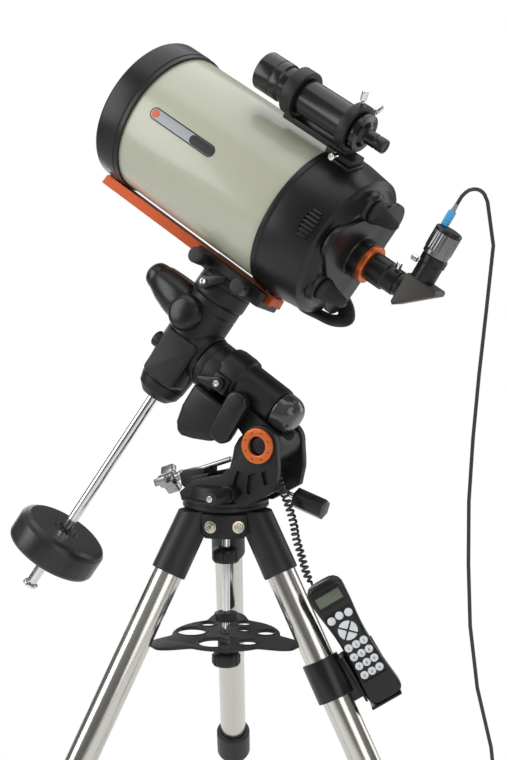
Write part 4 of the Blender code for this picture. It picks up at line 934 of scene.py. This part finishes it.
def counterweight():
    lathe("weight_shaft", [(8.5, -90.5), (8.5, -471.5), (8, -472)], CHROME, *ON_DEC,
        ("counterweight_shaft",), steps=64, fillet=0.5)
    lathe("safety_screw", [(0, -472), (6, -472.2), (6, -473.8), (11.5, -474), (12.5, -475), (12.5, -478.2),
        (11.5, -479.2), (0, -479.5)], CHROME, *ON_DEC, steps=48, fillet=0.4)
    mid = -393
    disc = [(8.9, 20), (18, 20), (20, 25), (56, 26), (64, 25), (71, 21), (75, 15), (75, -18), (72.5, -23),
        (66, -26), (56, -26), (8.9, -26)]
    lathe("weight_disc", raised(mid, disc), WEIGHT_PAINT, "weight", DEC, ("counterweight",), steps=144,
        closed=True, fillet=2)
    screw = DEC @ shift(0, 0, mid + 6) @ turn(-35.0, "Z") @ ALONG_X
    rod("weight_screw_pin", 4.8, 50.6, 78, MACHINED, "weight_screw", screw, ("counterweight_lock_screw",),
        fillet=0.8)


# ---------------------------------------------------------------- optical tube
TUBE_R = 115
TUBE_REAR, TUBE_FRONT, RIM_FRONT = -47, 236, 286
BAR_TOP, BAR_BOTTOM = -120.2, -135.7
CELL_R = 119.5
CELL_BACK = -147


def tube_body():
    """Tube, front ring, corrector with the secondary holder, main mirror and badge."""
    sleeve("tube_barrel", TUBE_R, TUBE_R - 1.6, TUBE_REAR - 12, TUBE_FRONT + 12, CREAM, *ON_TUBE,
        ("optical_tube",), steps=240, fillet=0.3)
    lathe("front_ring", [(115, RIM_FRONT), (117.7, RIM_FRONT - 0.8), (CELL_R, RIM_FRONT - 4),
        (CELL_R, TUBE_FRONT + 10), (118.3, TUBE_FRONT + 9.2), (118.3, TUBE_FRONT + 7.6),
        (118.9, TUBE_FRONT + 6.8), (118.9, TUBE_FRONT + 1), (118, TUBE_FRONT), (TUBE_R + 0.2, TUBE_FRONT),
        (TUBE_R + 0.2, TUBE_FRONT + 12.5), (100, TUBE_FRONT + 12.5), (100, RIM_FRONT - 21.5),
        (105, RIM_FRONT - 21.5), (105, RIM_FRONT - 12), (108.5, RIM_FRONT - 12), (112, RIM_FRONT - 6)],
        PAINT, *ON_TUBE, ("front_cell",), steps=240, closed=True, fillet=0.8)
    lathe("retaining_ring", raised(RIM_FRONT, [(98.5, -15), (98.5, -12.8), (99.5, -11.8), (108.2, -11.8),
        (108.2, -15)]), PAINT, *ON_TUBE, steps=180, closed=True, fillet=0.4)
    for k in range(8):
        place = OPTICAL @ turn(22.5 + 45 * k, "X") @ shift(RIM_FRONT - 11.8, 0, 103.6) @ ALONG_X
        lathe("retaining_screw", [(1.2, 1.1), (2.2, 0.7), (2.4, 0)], STEEL, "optical", place, steps=24,
            fillet=0.2)
    lathe("corrector", raised(RIM_FRONT, [(104.8, -20.6), (104.8, -16), (29, -16), (29, -20.6)]),
        CORRECTOR_GLASS, *ON_TUBE, ("corrector_plate",), steps=180, closed=True, fillet=0.2)
    lathe("secondary_holder", raised(RIM_FRONT, [(23, -2), (24, -1), (31, -1), (34, -5), (34, -15.7),
        (28.6, -15.7), (28.6, -20.9), (32, -20.9), (32, -42)]), PLASTIC, *ON_TUBE,
        ("secondary_mirror_holder",), steps=120, fillet=0.8,
        flute=(36, 0.9, RIM_FRONT - 13.5, RIM_FRONT - 6))
    lathe("secondary_face", raised(RIM_FRONT, [(0, -45.5), (26, -45), (27, -42.2)]), MIRROR, *ON_TUBE,
        steps=90, fillet=0.4)
    for k in range(3):
        place = OPTICAL @ turn(120 * k, "X") @ shift(RIM_FRONT - 2, 0, 16) @ ALONG_X
        lathe("collimation_screw", [(1.2, 0.8), (1.6, 1.8), (2.8, 1.8), (3, 1), (3, 0)], CHROME, "optical",
            place, steps=32, fillet=0.2)
    lathe("primary", raised(TUBE_REAR, [(104, 8), (104, -20), (27.5, -20), (27.5, 3)]), MIRROR,
        "main_mirror", OPTICAL @ ALONG_X, ("primary_mirror",), steps=180, closed=True, fillet=0.4)
    badge()


def badge():
    """Pill shaped plate along the camera side of the tube: silver body, black end, orange dot."""
    angle, low, high, half = 87.0, 79, 206, 7.6

    def wrapped(name, start, end, width, lift, finish):
        """A pill bent round the tube."""
        outline = arc((end - width, 0), width, -90, 90, 20) + arc((start + width, 0), width, 90, 270, 20)
        mesh = slab_mesh(name, [outline], 1, 0)
        for point in mesh.vertices:
            x, y, z = point.co / MM
            turned = math.radians(angle) + y / (TUBE_R + 0.6)
            reach = TUBE_R + lift + z
            point.co = Vector((x, reach * math.sin(turned), reach * math.cos(turned))) * MM
        add(name, mesh, finish, "optical", OPTICAL)

    wrapped("badge_rim", low - 2, high + 2, half + 2, 0.2, INK)
    wrapped("badge_plate", low, high, half, 0.7, SILVER)
    wrapped("badge_dark_end", low + 0.4, low + 46, half - 0.4, 1.2, INK)
    wrapped("badge_dot", high - 15, high - 2, 6.2, 1.2, ORANGE_PRINT)


KNOB_DIRECTIONS = (30.0, 150.0, 270.0)
KNOB_REACH = 76


def rear_cell():
    """The rear casting with its vents, back plate, three knobs and carry grip."""
    back = CELL_BACK
    cell = lathe("rear_casting", [(TUBE_R + 0.2, TUBE_REAR), (CELL_R - 1.2, TUBE_REAR),
        (CELL_R, TUBE_REAR - 1.2), (119.2, -56), (118.2, -56.6), (118, -57.8), (118.9, -58.5), (117.5, -90),
        (112, -131), (106, -134.5), (101.5, -136), (93, -144), (87, back), (52, back), (50, back - 3),
        (46, back - 4.6), (33, back - 5), (31, back - 8), (31, -170), (19, -170), (19, 80), (21.5, 80),
        (22.5, back + 10), (85, back + 10), (106, -120), (110, TUBE_REAR - 12.5),
        (TUBE_R + 0.2, TUBE_REAR - 12.5)], PAINT, *ON_TUBE, ("rear_cell",), steps=240, closed=True,
        fillet=1.2)
    middle = 89.0
    oval = [(11.5 * math.cos(math.radians(a)), 26.5 * math.sin(math.radians(a))) for a in range(0, 360, 8)]
    recess = moved(slab_mesh("recess", [oval], 8, 0),
        turn(-90, "Y") @ turn(-middle, "X") @ shift(-112, 0, 117))
    carve(cell, [recess])
    for k in range(7):
        along = (k - 3) * 6.6
        half = 11.2 * math.sqrt(max(1 - (along / 26.2) ** 2, 0.05))
        box("grille_slat", (2 * half, 3.4, 4), PAINT, "optical",
            OPTICAL @ turn(-middle + math.degrees(along / 115), "X") @ shift(-112, 0, 114.2)
            @ turn(28, "X"), edge=0.6)
    plate = []
    for direction in KNOB_DIRECTIONS:
        angle = math.radians(direction)
        centre = (-KNOB_REACH * math.cos(angle), KNOB_REACH * math.sin(angle))
        plate += arc(centre, 30, 180 - direction + 62, 180 - direction - 62, 16)
    slab("back_plate", [plate, arc((0, 0), 31.6, 0, 354, 59)], 10, PAINT, "optical",
        OPTICAL @ shift(back - 0.5, 0, 0) @ turn(-90, "Y") @ turn(180, "Z"), edge=1.2)
    for index, direction in enumerate(KNOB_DIRECTIONS):
        angle = math.radians(direction)
        place = OPTICAL @ shift(back, KNOB_REACH * math.sin(angle),
            KNOB_REACH * math.cos(angle)) @ turn(-90, "Y")
        lathe("knob_boss_%d" % index, [(22.5, 4.5), (24, 3.5), (26.8, 0), (26.8, -8)], PAINT, "optical",
            place, steps=90, fillet=1.2)
        body = ("mirror_lock_a", "focuser", "mirror_lock_b")[index]
        node = ("mirror_lock_knob_1", "focus_knob", "mirror_lock_knob_2")[index]
        lathe(body + "_grip", [(0, 42), (5, 41.5), (7.8, 38), (10, 28.5), (14.2, 12), (16.8, 7), (18, 4),
            (18, 0)], RUBBER, body, place @ shift(0, 0, 4.8), (node,), steps=144, fillet=1.4,
            flute=(18, 1.3, 9, 36))
        lathe(body + "_cap", [(0, 43.2), (3, 42.8), (4, 41.8), (4, 40.5)], SMOOTH_PLASTIC, body,
            place @ shift(0, 0, 4.8), steps=36, fillet=0.4)
    grip_points = []
    for x, direction, reach in ((-98, -169.0, 107), (-108, -162.0, 117.5), (-130, -155.0, 119.5),
            (-152, -150.0, 120), (-163, -142.0, 117.5), (-152, -135.0, 113), (-134, -131.0, 106)):
        angle = math.radians(direction)
        grip_points.append((x, reach * math.sin(angle), reach * math.cos(angle)))
    blade("carry_grip", smooth_route(grip_points, 3), 13.5, 6.2, PLASTIC, "optical", OPTICAL)
    box("finder_shoe_block", (40, 38, 10), PAINT, "optical", FINDER @ shift(-80, 0, -54.5), edge=1.6)


def dovetail():
    section = [(-19, BAR_TOP), (19, BAR_TOP), (21.5, BAR_BOTTOM + 1), (20.5, BAR_BOTTOM), (10, BAR_BOTTOM),
        (9, BAR_BOTTOM + 2), (-9, BAR_BOTTOM + 2), (-10, BAR_BOTTOM), (-20.5, BAR_BOTTOM),
        (-21.5, BAR_BOTTOM + 1)]
    slab("dovetail_rail", [section], 365, BAR_ORANGE, "optical",
        OPTICAL @ shift(96, 0, 0) @ turn(90, "Z") @ STANDING, ("dovetail_bar",), edge=0.9)
    for x in (260, 245, -70, -56):
        lathe("bar_bolt", [(2.4, -1.2), (2.4, 1), (4.2, 1), (4.5, 0), (4.5, -3)], PAINT, "optical",
            OPTICAL @ shift(x, 0, BAR_BOTTOM + 1.5) @ turn(180, "X"), steps=36, fillet=0.3)
    for x in (268, -74.5):
        box("bar_spacer", (18, 30, 5), PAINT, "optical", OPTICAL @ shift(x, 0, BAR_TOP + 2), edge=0.8)


FINDER_STAND = -74  # where the bracket's adjusters and foot are along the finder


def finder_scope():
    lathe("finder_barrel", [(7, -129), (8.5, -131), (10.5, -130), (10.5, -118), (9.8, -117), (9.8, -115),
        (10.5, -114), (10.5, -100), (15, -98.5), (20, -94), (28.5, -93), (28.5, -84), (26.5, -83),
        (26.5, 53), (29, 56), (29, 66.8), (28.3, 67.6), (28.3, 69.2), (29, 70), (29, 96.6), (28.4, 97.5),
        (26.2, 97.5), (25, 96), (24, 93), (23.6, 86)], GLOSS_PAINT, *ON_FINDER, ("finder_scope",),
        steps=120, fillet=0.6, flute=(40, 0.6, -130, -118.2))
    lathe("finder_lens", [(0, 92.5), (12, 91.6), (23.3, 88.5), (23.3, 86.5)], LENS_GLASS, *ON_FINDER,
        steps=90, fillet=0.3)
    for name, low, high, nodes in (("finder_front_ring", 17.5, 38.5, ("finder_bracket",)),
            ("finder_rear_ring", -82, -66, ())):
        sleeve(name, 36, 26.8, low, high, CAST, *ON_FINDER, nodes, steps=120, fillet=1.4)
    box("finder_rail", (120, 24, 10), CAST, "finder", FINDER @ shift(-22, 0, -37.5), edge=1.4)
    box("finder_foot", (48, 32, 10), CAST, "finder", FINDER @ shift(FINDER_STAND, 0, -44), edge=1.4)
    for angle in (-5, 68):
        place = FINDER @ shift(FINDER_STAND, 0, 0) @ turn(angle, "X")
        lathe("finder_adjuster", [(4, 59), (4.7, 58), (4.7, 45), (4, 44), (2.6, 43), (2.6, 35)], CHROME,
            "finder", place, steps=80, fillet=0.4, flute=(20, 0.4, 45.2, 58))
    rod("finder_spring", 5.5, 35, 48, PAINT, "finder", FINDER @ shift(FINDER_STAND, 0, 0) @ turn(140, "X"),
        fillet=1.2)
    lathe("finder_clamp_screw", [(4.5, 20), (5.2, 19), (5.2, 8.5), (4.5, 7.5), (2.6, 7), (2.6, -1)], CHROME,
        "finder", FINDER @ shift(FINDER_STAND, 16, -40) @ ALONG_Y, steps=80, fillet=0.4,
        flute=(20, 0.4, 8.7, 19))


def visual_back():
    lathe("port_ring", [(29.2, -170.2), (30, -171.2), (30, -179), (29.2, -180), (16.5, -180),
        (16.5, -170.2)], ORANGE, "back_ring", OPTICAL @ ALONG_X, ("visual_back_ring",), steps=180,
        closed=True, fillet=0.4, flute=(60, 0.5, -179.2, -171))
    lathe("eyepiece_adapter", [(22.5, -180.3), (22.5, -208.5), (20.5, -210), (19.5, -211.2), (19.5, -228),
        (16.3, -228), (16.3, -180.3)], PAINT, *ON_TUBE, ("visual_back",), steps=120, closed=True,
        fillet=0.7)
    for name, angle in (("adapter_screw", -35), ("adapter_screw_b", 85)):
        thumb_screw(name, "optical", OPTICAL @ shift(-220, 0, 0) @ turn(angle, "X"), 17.5)


def thumb_screw(name, body, place, start):
    """A knurled screw whose shank starts at that height."""
    lathe(name, raised(start, [(3.6, 16), (4.4, 15), (4.4, 6.2), (3.6, 5.5), (2.2, 5), (2.2, 0)]), CHROME,
        body, place, steps=60, fillet=0.4, flute=(20, 0.4, start + 6.4, start + 15))


def diagonal_and_camera():
    prism = [(20, -22.5), (20, 24), (18.5, 25.5), (-31, 25.5), (-33.5, 23), (-33.5, 18), (15.5, -26.2)]
    slab("diagonal_body", [prism], 36, DIAGONAL_GREY, "diagonal", ARM @ STANDING, ("star_diagonal",),
        edge=1.2)
    lathe("eyepiece_holder", [(17.5, 64), (19.5, 62.2), (19.5, 52), (18, 50), (18, 25)], PAINT, "diagonal",
        ARM @ shift(1, 0, 0), steps=120, fillet=0.7)
    rod("diagonal_collar", 17.8, 19.5, 29.7, PAINT, "diagonal", ARM @ ALONG_X, steps=96, fillet=1)
    lathe("diagonal_nose", [(15.7, 56), (15.7, 23)], CHROME, "diagonal", ARM @ ALONG_X, fillet=0.6)
    thumb_screw("holder_screw", "diagonal", ARM @ shift(1, 0, 45) @ ALONG_X, 15.5)
    lathe("imaging_camera", [(18, 100), (20.5, 99.5), (20.5, 72.5), (19.6, 70.5), (19.6, 64.3)],
        CAMERA_GREY, "camera", ARM @ shift(3, 0, 0), ("camera_body",), steps=224, fillet=0.5,
        flute=(18, 1.7, 73.5, 99.3))
    lathe("camera_end_cap", [(15, 106), (19, 105), (20.5, 103), (20.5, 100.2)], SMOOTH_PLASTIC, "camera",
        ARM @ shift(3, 0, 0), steps=120, fillet=0.8)
    box("plug_body", (10, 10, 23.5), BLUE, "camera", ARM @ shift(14, 0, 106.3 + 11.75), ("usb_plug",),
        edge=1.6, segments=4)
    relief = [(3.1, 34.5)]
    for k in range(4):
        z = 33 - 2.4 * k
        relief += [(3.2 + 0.2 * k, z), (2.8 + 0.2 * k, z - 0.4), (2.8 + 0.2 * k, z - 1.3),
            (3.3 + 0.2 * k, z - 1.7)]
    relief += [(4.2, 23.2)]
    lathe("plug_strain_relief", relief, RELIEF, "camera", ARM @ shift(14, 0, 106.3), steps=48, fillet=0.2)


# ---------------------------------------------------------------- hand control
def hand_control():
    """Shell, screen and the key mat with its keys."""
    right = [(6, 99.2), (15, 98.5), (21.5, 96), (26.2, 91), (28.5, 84), (28.2, 76), (26.5, 55), (23.8, 33),
        (22.5, 20), (21.7, 4), (21.8, -15), (22.8, -38), (24.8, -62), (27, -85), (26.6, -91), (23.5, -96),
        (15, -99)]
    outline = right + [(-x, y) for x, y in reversed(right)]
    body = slab("handset_shell", [outline], 27, SMOOTH_PLASTIC, "hand_control", HANDSET, ("handset",),
        edge=4.6)
    well = [(-19.6, -60), (19.6, -60), (19.6, 30), (21.2, 38), (21.2, 52), (-21.2, 52), (-21.2, 38),
        (-19.6, 30)]
    carve(body, [moved(slab_mesh("well", [well], 9, 0), shift(0, 0, 13.5)),
        moved(box_mesh("screen_well", (45, 24, 2), 0), shift(0, 74.5, 13.4))])
    seam = [(x * 1.006, y * 1.002) for x, y in outline]
    slab("handset_seam", [seam], 1, INK, "hand_control", HANDSET @ shift(0, 0, -2), edge=0.2)
    bezel = [(21.5, 65), (22, 84), (20, 85.8), (-20, 85.8), (-22, 84), (-21.5, 65), (-20, 63.5), (20, 63.5)]
    slab("screen_bezel", [bezel], 1.6, INK, "hand_control", HANDSET @ shift(0, 0, 13.2), edge=0.3)
    slab("screen", [[(19.2, 66.8), (19.2, 82.4), (-19.2, 82.4), (-19.2, 66.8)]], 0.8, LCD, "hand_control",
        HANDSET @ shift(0, 0, 13.8), edge=0.1)
    mat = [(x * 0.965, y * 0.985 if y < 0 else y * 0.987) for x, y in well]
    slab("key_mat", [mat], 2, INK, "keys", HANDSET @ shift(0, 0, 11.8), ("handset_keypad",), edge=0.6)
    digits = iter("123456789")
    for quarter in range(4):
        lobe = [(0, 2)] + arc((0, 0), 14.5, 50, 130, 14)
        mesh = slab_mesh("direction_key", [rounded(lobe, 1, True)], 4, 0.8)
        add("direction_key", moved(mesh, turn(90 * quarter, "Z")), KEYS, "keys",
            HANDSET @ shift(0, 20, 14.2))
    for x, y, radius in key_places():
        lathe("key", [(0, 16.5), (radius * 0.55, 16.4), (radius * 0.86, 15.8), (radius, 14.5),
            (radius, 11.2)], KEYS, "keys", HANDSET @ shift(x, y, 0), steps=48, fillet=0.5)
        if y < 0:
            mark = next(digits, "0")
            label("digit_%s" % mark, mark, 6, INK, "keys", HANDSET @ shift(x, y, 16.55))
    lathe("handset_jack", [(0, -6), (7, -5), (7.8, 0)], INK, "hand_control",
        HANDSET @ shift(0, -99, 0) @ ALONG_Y, steps=40, fillet=0.4)


def key_places():
    places = [(-14.2, 43, 6.1), (0, 45, 6.1), (14.2, 43, 6.1)]
    for row in range(4):
        places += [(x, -4 - 15.4 * row, 6) for x in (-12.6, 0, 12.6)]
    return places


def handset_cradle():
    cradle = box("cradle_shell", (54, 76, 31), SMOOTH_PLASTIC, "tripod", HANDSET @ shift(-4, -50, -3),
        ("handset_holder",), edge=2)
    carve(cradle, [moved(box_mesh("room", (72, 150, 40), 0), shift(12, 25.2, 9))])
    box("cradle_stop", (50, 4, 30), SMOOTH_PLASTIC, "tripod", HANDSET @ shift(-4, -101.5, -3), edge=1.2)
    box("cradle_back", (46, 90, 4), SMOOTH_PLASTIC, "tripod", HANDSET @ shift(-4, -59, -16), edge=1.2)
    place = leg_frame(LEG_AZIMUTHS[0])
    sleeve("cradle_clip", 28, 22.45, 218, 278, SMOOTH_PLASTIC, "tripod", place, fillet=1)
    arm_place = HANDSET @ shift(-45, -46, -5)
    arm = box("cradle_arm", (40, 68, 24), SMOOTH_PLASTIC, "tripod", arm_place, edge=3)
    inverse = arm_place.inverted()
    hollow = moved(lathe_mesh("hollow", [(22.45, 400), (22.45, 100)], 64, fillet=0), inverse @ place)
    carve(arm, [hollow])


def main():
    camera()
    studio()
    cords()
    tripod_head()
    legs()
    tray()
    mount_base()
    latitude_bolts()
    polar_axis()
    declination_axis()
    counterweight()
    tube_body()
    rear_cell()
    dovetail()
    finder_scope()
    visual_back()
    diagonal_and_camera()
    hand_control()
    handset_cradle()


main()
